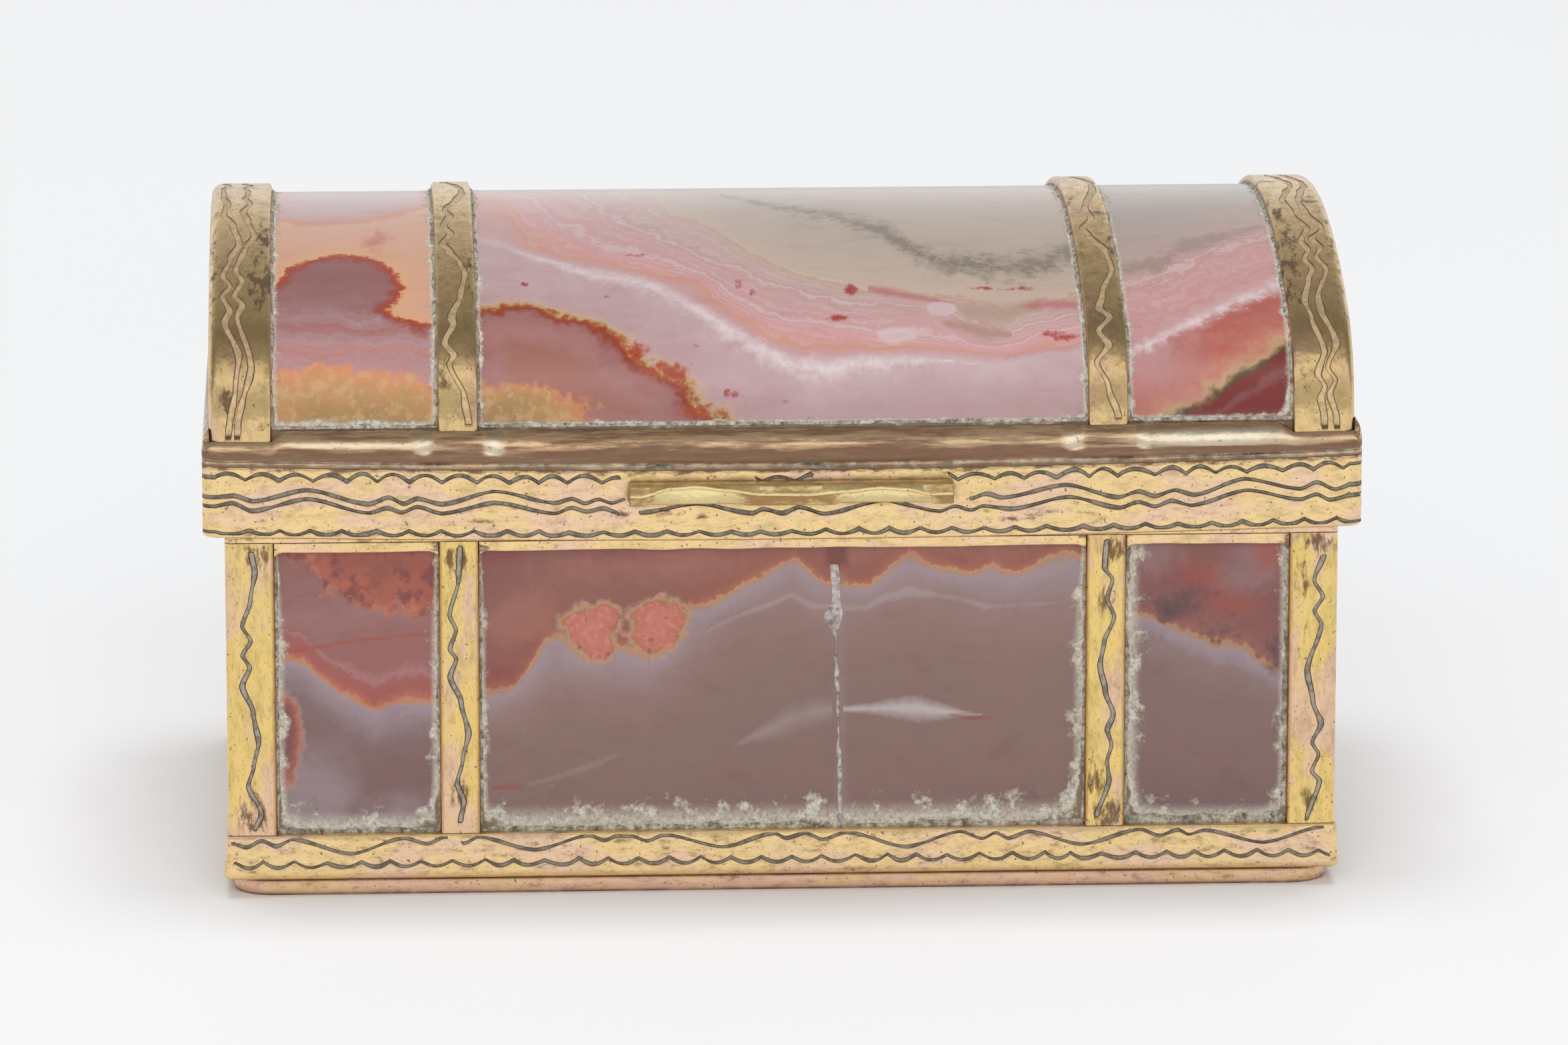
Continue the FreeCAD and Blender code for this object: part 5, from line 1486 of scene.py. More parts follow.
    def lid_centre(self) -> Agate:
        """Long lid panel: pale pink bands that sweep down to the right, grey field above, red-rimmed bulge."""
        white = (
            (-18.7, 17), (-16.5, 15.6), (-15.45, 14.6), (-12.95, 12.9), (-11.45, 12), (-9.2, 11.25), (-7.2, 10.2),
            (-5.7, 8.5), (-4.2, 7), (-2.95, 5.6), (-1.45, 4.4), (0.3, 3.4), (2.8, 3), (5.3, 3.4), (7.8, 3.5),
            (10, 3.5), (13.8, 3), (18.7, 3.7))
        peach = (
            (-18.7, 31), (-16.2, 22), (-15.3, 18), (-15, 16), (-12.7, 14.75), (-11.2, 14.25), (-9.2, 13),
            (-7.2, 12.25), (-5.45, 11.5), (-4.2, 10), (-2.7, 7.25), (-1.2, 5.75), (1.3, 4.75), (3.8, 4.6),
            (7.55, 4.8), (10, 4.6), (13.8, 4.1), (18.7, 4.8))
        first = (
            (-18.7, 33), (-14.5, 26), (-13.2, 20), (-12.2, 17.5), (-10.5, 15.6), (-8, 14.3), (-5.5, 13), (-3.6, 11),
            (-2, 8.9), (0, 7.2), (3.3, 6.3), (6.3, 5.95), (8.3, 5.6), (10, 5.2), (12.55, 4.6), (14.5, 4.8), (16, 5.8),
            (18.7, 6.2))
        second = (
            (-18.7, 35), (-12, 30), (-10, 22), (-8, 18.5), (-5.5, 15.5), (-3.5, 13.4), (-1.5, 11.3), (0.5, 9.9),
            (2.05, 9.5), (5.05, 8.9), (7.55, 8.25), (10.05, 8), (11, 6.5), (13.3, 5.4), (15, 6.2), (16.8, 6.9),
            (18.7, 7.3))
        tan = (
            (-18.7, 36), (-9, 34), (-6.6, 24), (-6.2, 21.3), (-4.7, 20), (-3.45, 18.25), (-2.7, 16.25), (-1.45, 14.5),
            (-0.2, 13), (1.3, 11.9), (3.3, 11), (5.05, 10), (7.5, 9.2), (11.3, 9.1), (13.8, 7.3), (15.8, 8.5),
            (18.7, 9.1))
        stops = (
            (0, 190, 156, 158), (0.7, 196, 168, 172), (1, 202, 178, 182), (1.3, 208, 186, 190), (1.6, 204, 168, 170),
            (1.85, 208, 162, 156), (2, 210, 158, 142), (2.15, 212, 162, 154), (2.6, 214, 164, 166),
            (2.9, 206, 166, 168), (3, 216, 188, 190), (3.1, 206, 164, 166), (3.5, 206, 168, 168),
            (3.92, 200, 166, 166), (4, 212, 190, 188), (4.08, 198, 166, 164), (4.5, 202, 176, 172),
            (4.8, 196, 174, 164), (5, 196, 170, 150), (5.2, 202, 184, 170), (6, 198, 182, 170), (7, 184, 171, 159),
            (8, 192, 179, 167), (10, 194, 182, 173), (12, 196, 174, 174))
        moss = (
            (-18.7, 37.5), (-6, 36), (-3, 27), (-0.2, 23.5), (3.8, 21), (5.8, 19), (7.55, 17), (8.55, 14.5),
            (10, 13.25), (13.8, 12.5), (16.3, 13), (18.7, 14.5))
        base = Layer(
            Contours(((0, flat(-1.6)), (1, white), (1.5, shifted(white, 0.9)), (2, peach), (3, first), (4, second),
            (5, tan), (6, shifted(tan, 2.6)), (7, moss), (8, shifted(moss, 4)), (10, flat(42)), (12, flat(54)))),
            stops, 0.1, 0.07, 0.3, (2, 5.6), 0.06)
        thick = (0.05, 0.1, 0.2, 0.5, 0.6, 0.7, 0.7, 0.75, 0.75, 0.7, 0.7, 0.6, 0.55, 0.45, 0.3, 0.1, 0, 0)
        feather = Layer(
            Streak(tuple((x, t + 0.25, half) for (x, t), half in zip(white, thick))), self.FEATHER_STOPS, 0.1, 0.55,
            lump=0.4)
        growth = Layer(
            Streak(tuple((x, t, 1.3 if x > 3 else 0.7) for x, t in moss[2:])), ((-0.5, 140, 132, 118, 0),
            (0.5, 132, 124, 110, 0.45), (1, 116, 108, 96, 0.65)), 0.2, 0.55, lump=0.6,
            mottle=(hue(82, 76, 64), 0.7, 3.2))
        bulge = (
            (-19.5, 8.3), (-17.7, 8.5), (-16.2, 8.8), (-14.95, 8.45), (-13.2, 7.75), (-11.2, 6.75), (-9.95, 5.75),
            (-9.2, 4.6), (-7.95, 3.55), (-5.95, 2.65), (-5.6, 1.75), (-4.7, 0.75), (-3.2, 0.1), (-3, -2), (-19.5, -2))
        island = Layer(
            Region((bulge,)), ((-0.9, 206, 180, 162, 0), (-0.5, 206, 178, 148, 0.6), (-0.2, 196, 160, 116),
            (-0.02, 172, 122, 72), (0.1, 172, 88, 54), (0.35, 152, 64, 44), (0.6, 152, 88, 76), (1, 166, 114, 112),
            (2.2, 172, 126, 124), (3.2, 168, 118, 108), (6, 176, 116, 106)), 0.12, 0.2, lump=0.32)
        crumbs = Layer(
            Blobs(((-8.7, 4.6, 0.5, 0.45), (-6.7, 3.1, 0.75, 0.4), (-7.6, 3.4, 0.5, 0.3), (-5.3, 0.8, 0.7, 0.3))),
            ((-0.3, 186, 98, 62, 0), (0.1, 176, 74, 50, 0.9), (0.8, 160, 60, 44)), 0.1, 0.25, lump=0.2)
        ochre = Layer(
            Blobs(((-16.6, 0, 4.3, 2.3),)), ((-0.6, 196, 128, 108, 0), (-0.1, 212, 140, 98, 0.8), (0.2, 206, 146, 98),
            (0.7, 184, 146, 94), (2, 170, 140, 92)), 0.2, 0.35, lump=0.35, mottle=(hue(210, 172, 126), 0.7, 1.6))
        rose = Layer(
            Streak(((5.3, 10.3, 0.2), (6.3, 9.9, 0.5), (8.2, 9.2, 0.45), (10.4, 8.6, 0.1), (13.5, 8.2, 0),
            (14.6, 8.1, 0.1), (15.6, 8.2, 0.45), (17.2, 8.25, 0.5), (18.7, 8.2, 0.3))), ((-0.6, 196, 136, 138, 0),
            (0.6, 188, 114, 118, 0.75)), 0.1, 0.2, lump=0.15)
        run = Layer(
            Streak(((9.6, 6.6, 0.1), (10.5, 6.4, 0.5), (12.2, 5.8, 0.6), (14, 5.5, 0.2))), ((-0.6, 188, 156, 148, 0),
            (0.6, 176, 142, 132, 0.8)), 0.1, 0.2)
        bubble = Layer(
            Blobs(((9.7, 7.9, 0.8, 0.6), (7, 5.6, 0.9, 0.45))), ((-0.25, 214, 196, 196, 0), (0, 218, 202, 204, 0.7),
            (0.7, 208, 190, 194, 0.75)), 0.04, 0.12, lump=0.16)
        vale = Layer(
            Streak(((10.4, 8.3, 0.1), (11.4, 7.6, 0.7), (13.2, 7.3, 1.1), (15, 8, 0.8), (16.4, 9, 0.1))),
            ((-0.4, 190, 166, 150, 0), (0.6, 180, 156, 140, 0.7)), 0.1, 0.2, lump=0.15)
        sparks = Layer(
            Blobs(((4.4, 10.1, 0.28, 0.6), (3.5, 7.1, 0.5, 0.2), (-2.4, 10.8, 0.12, 0.3), (-1.6, 9.9, 0.14, 0.2),
            (16.2, 5.6, 0.45, 0.18), (17.2, 5.3, 0.6, 0.14), (-10.5, 9.6, 0.12, 0.12), (-15.4, 11.1, 0.14, 0.18),
            (-3.4, 1.9, 0.1, 0.1), (-2.9, 1.8, 0.1, 0.1), (-5.2, 5, 0.12, 0.1), (0.1, 1.4, 0.12, 0.1),
            (-8.4, 14.6, 0.5, 0.1), (12.4, 10.1, 0.4, 0.1), (14.6, 10, 0.5, 0.12))), ((-0.12, 180, 72, 66, 0),
            (0.06, 170, 56, 52, 0.85), (0.3, 164, 50, 46, 0.95)), 0.03, 0.12, lump=0.08)
        layers = (base, feather, growth, island, crumbs, ochre, vale, rose, run, bubble, sparks)
        return Agate("lid_centre_agate", layers, Crust(0.45, 0.5, 0.35, 0), 0.4)

    def lid_left(self) -> Agate:
        """Left lid panel: a mauve lobe with a red, scalloped rim in peach stone over an ochre foot."""
        stops = (
            (2, 196, 148, 142), (2.6, 186, 146, 150), (3, 192, 138, 134), (3.4, 182, 146, 150), (4, 170, 116, 114),
            (4.5, 174, 138, 140), (5, 162, 122, 122), (5.6, 158, 114, 112), (6.5, 150, 104, 104),
            (7.5, 158, 110, 112), (8.5, 190, 150, 148))
        base = Layer(
            Contours(((2, flat(3)), (3, flat(4.9)), (4, flat(6.4)), (5, flat(8.4)), (6, flat(11)), (7, flat(14)),
            (8.5, flat(21)))), stops, 0.14, 0.12, 0.1, (2.1, 5.2), 0.1)
        shore = (
            (-31.5, 10), (-30.5, 11.6), (-29.8, 13), (-28.9, 14.2), (-27.8, 14.6), (-26.9, 15), (-25.6, 14.7),
            (-24.3, 14.2), (-23.4, 13.2), (-22.9, 12), (-22.7, 10.5), (-23, 9.3), (-23.8, 8.35), (-22.9, 7.6),
            (-22, 7.1), (-20, 6.5), (-20, 28), (-31.5, 28))
        peach = Layer(
            Region((shore,)), ((-1, 158, 92, 88, 0), (-0.62, 160, 78, 68, 0.6), (-0.3, 164, 68, 50),
            (-0.08, 192, 98, 64), (0.12, 226, 178, 138), (0.7, 222, 176, 146), (2, 222, 176, 152),
            (3.5, 218, 178, 160)), 0.1, 0.22, lump=0.18)
        crest = (
            (-31.5, 20.6), (-29.3, 20.4), (-28.2, 19.4), (-27, 20.1), (-25, 20.5), (-23, 21.8), (-21.5, 23.6),
            (-20, 24.5), (-20, 56), (-31.5, 56))
        veil = Layer(
            Region((crest,)), ((-0.4, 220, 170, 144, 0), (0, 212, 138, 108, 0.7), (0.3, 208, 156, 140, 0.9),
            (1, 204, 166, 162), (3, 200, 178, 180), (12, 190, 166, 168)), 0.15, 0.25, lump=0.25)
        ledge = (
            (-31.5, -2), (-20, -2), (-20, 2.5), (-21.5, 2.6), (-23.5, 3.3), (-25, 3.45), (-28, 3.4), (-31.5, 3.3))
        foot = Layer(
            Region((ledge,)), ((-0.3, 206, 152, 134, 0), (0, 220, 150, 106), (0.5, 212, 150, 102),
            (1.3, 196, 152, 100), (3, 172, 142, 94)), 0.15, 0.3, lump=0.4, mottle=(hue(212, 176, 130), 0.65, 1.3))
        flush = Layer(
            Blobs(((-24.6, 16.6, 0.6, 1.2), (-24, 17.8, 0.4, 0.8))), ((-0.4, 206, 130, 116, 0),
            (0.4, 196, 110, 104, 0.6)), 0.15, 0.3, lump=0.3)
        return Agate("lid_left_agate", (base, peach, veil, foot, flush), Crust(0.6, 0.6, 0.5, 0))

    def lid_right(self) -> Agate:
        """Right lid panel: slanting pink and white bands over a dark red corner."""
        edge = (
            (20.5, -2), (22.5, -0.5), (23.5, 0.25), (25, 1.25), (26.5, 2), (27.5, 2.9), (28.75, 3.5), (30.5, 4.75),
            (31.3, 5.1))
        white = ((20.5, 3.5), (21.25, 4), (23, 4.8), (24.5, 5.8), (26.5, 7.2), (28, 8.2), (29.75, 9.3), (31.2, 10.6))
        line = ((20.5, 9.9), (21, 10.25), (23, 11), (24, 12.5), (26, 13.5), (27.25, 15), (30, 16.5), (31.2, 17))
        stops = (
            (-4, 130, 52, 50), (-0.6, 126, 50, 46), (-0.3, 96, 70, 48), (-0.1, 126, 104, 74), (0.1, 198, 168, 130),
            (0.4, 204, 146, 122), (0.9, 184, 110, 98), (1.7, 184, 106, 96), (2.1, 198, 142, 140),
            (2.35, 214, 180, 182), (2.9, 206, 158, 158), (3.4, 210, 164, 162), (3.92, 202, 160, 160),
            (4, 216, 190, 188), (4.08, 200, 164, 162), (4.6, 196, 166, 162), (5.2, 188, 168, 162), (7, 174, 164, 158),
            (9, 180, 174, 170), (11, 182, 154, 154))
        base = Layer(
            Contours(((-4, shifted(edge, -4)), (0, edge), (2.2, white), (2.7, shifted(white, 0.9)), (4, line),
            (5, shifted(line, 2.4)), (7, shifted(line, 9)), (9, flat(40)), (11, flat(54)))), stops, 0.1, 0.07, 0.24,
            (2.6, 5.2), 0.12)
        cloud = Layer(
            Streak(((20.5, 11.6, 0.5), (23, 12.8, 0.9), (25.5, 15, 0.9), (28, 17, 0.8), (30, 18, 0.4),
            (31.2, 18.5, 0.2))), ((-0.5, 158, 144, 136, 0), (0.7, 150, 132, 124, 0.6)), 0.4, 0.3, lump=0.5)
        speckle = Layer(
            Region((((20.5, 0.2), (24.5, 1.4), (28, 3.8), (31.2, 5.8), (31.2, 8.9), (28, 6.8), (24.5, 4.2),
            (20.5, 2.2)),)), ((-0.5, 192, 126, 116, 0), (0.4, 192, 122, 112, 0.5)), 0.25, 0.2, lump=0.5,
            mottle=(hue(206, 84, 66), 0.55, 1.3))
        vein = Layer(
            Streak(((25.5, -0.2, 0.1), (27.5, 1.2, 0.3), (29, 2, 0.45), (31.2, 3.6, 0.4))), ((-0.3, 138, 74, 76, 0),
            (0.7, 142, 92, 98, 0.6)), 0.2, 0.2, lump=0.4, mottle=(hue(150, 60, 52), 0.5, 1.5))
        blush = Layer(
            Blobs(((21, 4, 5.4, 3.8),)), ((-0.4, 194, 142, 140, 0), (2.6, 194, 152, 154, 0.75)), 0.25, 0.2, lump=0.3)
        feather = Layer(
            Streak(tuple((x, t + 0.3, 0.3 + 0.045 * (x - 20)) for x, t in white)), self.FEATHER_STOPS, 0.2, 0.6,
            lump=0.5)
        return Agate("lid_right_agate", (base, cloud, speckle, vein, blush, feather), Crust(0.55, 0.55, 0.45, 0), 0.4)

    def plain(self, name: str, seed: int, low: Point, high: Point) -> Agate:
        """Panel of the unseen walls: a wandering seam between the front's two colours of stone.

        Args:
            name: name of the material.
            seed: chooses the seam's course.
            low: lowest place on the panel.
            high: highest place on the panel.

        Returns:
            The colouring.
        """
        x = np.linspace(low[0] - 1, high[0] + 1, 40)
        tall = high[1] - low[1]
        seam = low[1] + tall * (0.62 + 0.16 * ripple(seed, x, 6) + 0.05 * ripple(seed + 1, x, 1.6))
        edge = tuple((float(a), float(b)) for a, b in zip(x, seam))
        stops = self.WALL_STOPS
        shape = Contours(((stops[0][0], flat(low[1] - 1)), (-1.7, shifted(edge, -1.7)), (0, edge),
                          (1, shifted(edge, 1.1)), (stops[-1][0], flat(high[1] + 1))))
        return Agate(name, (Layer(shape, stops, 0.14, 0.14, 0.15, (-6, -1)),), Crust(0.6, 0.6, 1, 0.3))


def crust_mark(crust: Crust, x: Array, t: Array, window: tuple) -> Array:
    """1 at the edge of a panel's window, falling to 0 where the residue ends."""
    left, right, bottom, top = window
    reach = np.full(x.shape, -0.6)
    corner = np.zeros(x.shape)
    thin = np.clip(0.3 + 0.7 * (top - t) / crust.fade, 0.3, 1) if crust.fade else 1.0
    for away, width in ((x - left, crust.left * thin), (right - x, crust.right * thin), (t - bottom, crust.bottom),
                        (top - t, crust.top)):
        if np.all(width):
            near = 1 - away / width
            reach = np.maximum(reach, near)
            corner += np.clip(1 - away / (2.5 * width), 0, 1)
    return np.clip(reach + 0.5 * np.clip(corner - 1, 0, 1), -0.6, 1.3)


@dataclass
class WallStone:
    """Flat stone slabs of the four walls, with the old crack in the front."""

    book: StoneBook
    step: float = 0.22
    spans: tuple = (("left", -30.72, -20.83), ("centre", -18.37, 18.37), ("right", 20.83, 30.72))

    def slab(self, name: str, node: str, agate: Agate, window: tuple, wall: tuple) -> None:
        """Model one slab as large as its CAD node.

        Args:
            name: name of the piece.
            node: CAD node that it stands for.
            agate: its colouring.
            window: left, right, bottom and top of what the strips leave open, on the slab's face.
            wall: outward direction of its face in X and Y.
        """
        low, high = extent(node)
        axis = 0 if wall[1] else 1
        a = np.linspace(low[axis], high[axis], max(2, int((high[axis] - low[axis]) / self.step)))
        t = np.linspace(low[2], high[2], max(2, int((high[2] - low[2]) / self.step)))
        across, height = np.meshgrid(a, t, indexing="ij")
        grid = np.zeros((*across.shape, 3))
        grid[..., axis] = across
        grid[..., 1 - axis] = (low if min(wall) < 0 else high)[1 - axis]
        grid[..., 2] = height
        marks = {f"layer_{number}": layer.shape.value(across, height) for number, layer in enumerate(agate.layers)}
        marks["crust"] = crust_mark(agate.crust, across, height, window)
        obj = thicken(lattice(name, grid, False, False, marks), Vector((*wall, 0)), abs(high[1 - axis] - low[1 - axis]))
        settle(obj, agate.material(), "body", node)

    def build(self) -> None:
        """Model the slabs of all four walls."""
        front = {"left": self.book.front_left(), "centre": self.book.front_centre(), "right": self.book.front_right()}
        for index, (side, low, high) in enumerate(self.spans):
            window = (low, high, WALL_FOOT, WALL_TOP)
            self.slab(f"front_stone_{side}", f"front_panel_{side}", front[side], window, (0, -1))
            agate = self.book.plain(f"back_{side}_agate", 40 + 7 * index, (low, WALL_FOOT), (high, WALL_TOP))
            self.slab(f"back_stone_{side}", f"back_panel_{side}", agate, window, (0, 1))
        for side in Side:
            agate = self.book.plain(f"end_{side.tag}_agate", 70 + side.value, (-18.4, WALL_FOOT), (18.4, WALL_TOP))
            window = (-END_HALF, END_HALF, WALL_FOOT, WALL_TOP)
            self.slab(f"end_stone_{side.tag}", f"end_panel_{side.tag}", agate, window, (side.value, 0))
        self.floor()

    def floor(self) -> None:
        """Dress the floor slab, which keeps its CAD shape."""
        material, graph = new_material("floor_agate")
        where = graph.place()
        bands = graph.noise(graph.stretch(where, (0.5, 1.0, 1.0)), 0.16, 6.0, 0.5, 1.2)
        colour = graph.ramp(bands, [(0.3, tone(134, 104, 100)), (0.47, tone(150, 126, 128)), (0.5, tone(196, 150, 120)),
                                    (0.54, tone(168, 98, 84)), (0.7, tone(150, 96, 90))]).outputs[0]
        rough = graph.span(graph.noise(where, 1.2, 4.0), 0.3, 0.7, 0.2, 0.34)
        graph.surface({"Base Color": colour, "Roughness": rough}, bands, 0.03)
        dress(bpy.data.objects["base_panel"], material)


@dataclass
class VaultStone:
    """Bent stone slabs of the lid and the slabs that close its ends."""

    book: StoneBook
    step: float = 0.22
    spans: tuple = (("left", -30.8, -20.8), ("centre", -18.4, 18.4), ("right", 20.8, 30.8))

    def bent(self, side: str, agate: Agate, window: tuple) -> None:
        """Model one bent slab."""
        node = f"lid_panel_{side}"
        low, high = extent(node)
        arch = Arch(STONE_DEEP)
        x = np.linspace(low[0], high[0], int((high[0] - low[0]) / self.step))
        along = arch.stations(VAULT_LEG, self.step)
        across, t = np.meshgrid(x, along, indexing="ij")
        y, z = arch.places(t)
        near = ease(np.clip((t - 28) / 8, 0, 1))
        mirror = low[0] + high[0] - across
        marks = {}
        for number, layer in enumerate(agate.layers):
            front = layer.shape.value(across, t)
            back = layer.shape.value(mirror, arch.length - t)
            marks[f"layer_{number}"] = np.clip(front, -30, 60) * (1 - near) + np.clip(back, -30, 60) * near
        marks["crust"] = crust_mark(agate.crust, across, np.minimum(t, arch.length - t), (*window, 0.0, 99.0))
        obj = lattice(f"lid_stone_{side}", np.stack([across, y, z], axis=2), False, False, marks)
        settle(thicken(obj, Vector((0, 0, 1)), 2.0), agate.material(), "lid", node)

    def end(self, side: Side) -> None:
        """Dress one end slab, which keeps its CAD shape, with pale bands."""
        obj = bpy.data.objects[f"lid_end_panel_{side.tag}"]
        material, graph = new_material(f"lid_end_{side.tag}_agate")
        where = graph.place()
        height = graph.add("ShaderNodeSeparateXYZ", None, {0: where}).outputs[2]
        sway = graph.noise(where, 0.14, 5.0, 0.5, 0.8)
        shift = 31.0 + side.value
        bands = graph.math("ADD", graph.math("SUBTRACT", height, shift), graph.span(sway, 0.25, 0.75, -4.5, 4.5))
        colour = graph.ramp(bands, [(-6, tone(186, 158, 166)), (-2, tone(198, 172, 182)), (-0.6, tone(206, 186, 196)),
                                    (-0.3, tone(226, 216, 222)), (0.0, tone(208, 172, 178)), (1.0, tone(212, 160, 152)),
                                    (1.4, tone(208, 150, 128)), (1.8, tone(206, 176, 168)), (4, tone(196, 180, 172)),
                                    (7, tone(178, 168, 160))]).outputs[0]
        fine = graph.span(graph.math("SINE", graph.math("MULTIPLY", bands, 9.0)), 0.2, 1.0, 0.0, 0.3)
        colour = graph.blend(fine, colour, tone(226, 212, 214))
        rough = graph.span(graph.noise(where, 1.4, 4.0), 0.3, 0.7, 0.14, 0.24)
        graph.surface({"Base Color": colour, "Roughness": rough}, sway, 0.05)
        dress(obj, material)

    def build(self) -> None:
        """Model the bent slabs and dress the ends."""
        agates = {"left": self.book.lid_left(), "centre": self.book.lid_centre(), "right": self.book.lid_right()}
        for side, low, high in self.spans:
            self.bent(side, agates[side], (low, high))
        for side in Side:
            self.end(side)


@dataclass
class Bedding:
    """Cement beads along the edges of the stone, and the filler in the front crack."""

    finishes: Finishes

    def bead(self, name: str, body: str, seed: int, along: Array, width: float, height: float,
             place: Callable[[Array, Array, Array], Array]) -> None:
        """Lay one uneven bead.

        Args:
            name: name of the piece.
            body: CAD body that it rides on.
            seed: chooses its lumps.
            along: stations along the edge.
            width: usual width over the stone.
            height: usual height above the stone.
            place: gives places from stations, distance from the edge and height.
        """
        lumps = 1 + 0.45 * ripple(seed, along, 0.8) + 0.35 * ripple(seed + 1, along, 2.7)
        wide = width * np.clip(lumps, 0.25, 2.0)
        tall = height * np.clip(1 + 0.4 * ripple(seed + 2, along, 0.6), 0.4, 1.6)
        ends = np.minimum(1, np.minimum(along - along[0], along[-1] - along) / 0.5 + 0.2)
        tall = tall * ends
        across = np.stack([np.full(along.shape, -0.06), np.zeros(along.shape), 0.35 * wide, 0.75 * wide, wide, wide,
                           np.full(along.shape, -0.06)], 1)
        rise = np.stack([0.9 * tall, tall, 0.75 * tall, 0.3 * tall, 0.02 + 0 * tall, -0.04 + 0 * tall,
                         -0.04 + 0 * tall], 1)
        grid = place(np.broadcast_to(along[:, None], across.shape), across, rise)
        settle(lattice(name, grid, True, False), self.finishes.mortar, body)

    def flat_window(self, name: str, wall: tuple, sides: Sequence[tuple], foot: Array, foot_seed: int,
                    upright: Point, lying: Point) -> None:
        """Lay the beads up both sides of a flat window and along its foot.

        Args:
            name: name of the window.
            wall: outward direction of the wall in X and Y.
            sides: tag, place of the edge, sign towards the window and seed of either side.
            foot: stations along the foot.
            foot_seed: chooses the lumps along the foot.
            upright: width and height of the beads at the sides.
            lying: width and height of the bead at the foot.
        """
        face, sign_out = END_FACE if wall[0] else FRONT_FACE, sum(wall)

        def spot(across: Array, rise: Array, height: Array) -> Array:
            """Places on the wall from the place across it, the rise above the stone and the height."""
            out = sign_out * (face + rise)
            return np.stack([out, across, height] if wall[0] else [across, out, height], 2)

        for tag, edge, sign, seed in sides:
            self.bead(f"{name}_cement_{tag}", "body", seed, np.linspace(4.0, 21.8, 90), *upright,
                      lambda a, b, c, edge=edge, sign=sign: spot(edge + sign * b, c, a))
        self.bead(f"{name}_cement_foot", "body", foot_seed, foot, *lying, lambda a, b, c: spot(a, c, WALL_FOOT + b))

    def wall_window(self, name: str, wall: Wall, span: Point, seed: int, wide: float) -> None:
        """Lay the beads round one window of a long wall."""
        left, right = span
        sides = (("left", left, 1, seed), ("right", right, -1, seed + 5))
        foot = np.linspace(left + 0.05, right - 0.05, int((right - left) / 0.2))
        self.flat_window(name, (0, wall.value), sides, foot, seed + 9, (0.12 * wide, 0.1), (0.2 * wide, 0.13))

    def end_window(self, side: Side, seed: int) -> None:
        """Lay the beads round an end wall's window."""
        sides = (("front", -END_HALF, 1, seed + 1), ("back", END_HALF, -1, seed - 1))
        self.flat_window(f"end_{side.tag}", (side.value, 0), sides, np.linspace(-18.3, 18.3, 180), seed + 6,
                         (0.18, 0.16), (0.3, 0.2))

    def lid_window(self, name: str, span: Point, seed: int) -> None:
        """Lay the beads round one window of the vault."""
        arch = Arch(STONE_DEEP)
        left, right = span

        def spot(x: Array, along: Array, rise: Array, sign: int = 1) -> Array:
            """Places over the vault's stone; a sign of -1 turns them to its back."""
            y, z = arch.places(along, -rise)
            return np.stack([x, sign * y, z], 2)

        along = np.linspace(0.05, arch.length - 0.05, 250)
        for tag, edge, sign, more in (("left", left, 1, 0), ("right", right, -1, 5)):
            self.bead(f"{name}_cement_{tag}", "lid", seed + more, along, 0.17, 0.14,
                      lambda a, b, c, edge=edge, sign=sign: spot(edge + sign * b, a, c))
        foot = np.linspace(left + 0.05, right - 0.05, int((right - left) / 0.2))
        for wall in Wall:
            self.bead(f"{name}_cement_{wall.tag}", "lid", seed + 9 + wall.value, foot, 0.14, 0.12,
                      lambda a, b, c, sign=-wall.value: spot(a, b, c, sign))

    def crack(self) -> None:
        """Lay the ragged filler over the lower part of the old crack."""
        z = np.linspace(4.0, 20.2, 150)
        middle = 3.3 - (z - 13.2) * math.tan(math.radians(1.2)) + 0.06 * ripple(61, z, 0.7)
        wide = 0.12 + 0.06 * ripple(62, z, 0.5) + 0.05 * ripple(63, z, 2.0) + 0.08 * np.clip((z - 16) / 3, 0, 1)
        wide += 0.28 * np.exp(-((z - 17.0) / 0.8) ** 2)
        wide = np.clip(wide, 0.07, 0.6)
        left = middle - wide * (1 + 0.9 * np.exp(-((z - 17.0) / 0.7) ** 2))
        right = middle + wide
        tall = 0.05 + 0.03 * ripple(64, z, 0.6)
        x = np.stack([left, 0.6 * left + 0.4 * middle, middle, 0.6 * right + 0.4 * middle, right, right, left], 1)
        y = -FRONT_FACE - np.stack([0 * z + 0.005, tall, 1.2 * tall, tall, 0 * z + 0.005, 0 * z - 0.2, 0 * z - 0.2], 1)
        obj = lattice("crack_filler", np.stack([x, y, np.broadcast_to(z[:, None], x.shape)], 2), True, False)
        settle(obj, self.finishes.filler, "body")

    def build(self) -> None:
        """Lay all beads and the filler."""
        for index, (name, low, high) in enumerate(WallStone.spans):
            wide = 2.2 if name == "right" else 1.2
            self.wall_window(f"front_{name}", Wall.FRONT, (low, high), 100 + 20 * index, wide)
            self.wall_window(f"back_{name}", Wall.BACK, (low, high), 200 + 20 * index, 1.2)
        for side in Side:
            self.end_window(side, 300 + 10 * side.value)
        for index, (name, low, high) in enumerate(VaultStone.spans):
            self.lid_window(f"lid_{name}", (low, high), 400 + 20 * index)
        self.crack()


@dataclass
class Hinge:
    """Hinge leaves and wire, which keep their CAD shape."""

    finishes: Finishes

    def build(self) -> None:
        """Dress the hinge."""
        for node in ("hinge_leaf_body", "hinge_leaf_lid", "hinge_pin"):
            dress(bpy.data.objects[node], self.finishes.hinge)


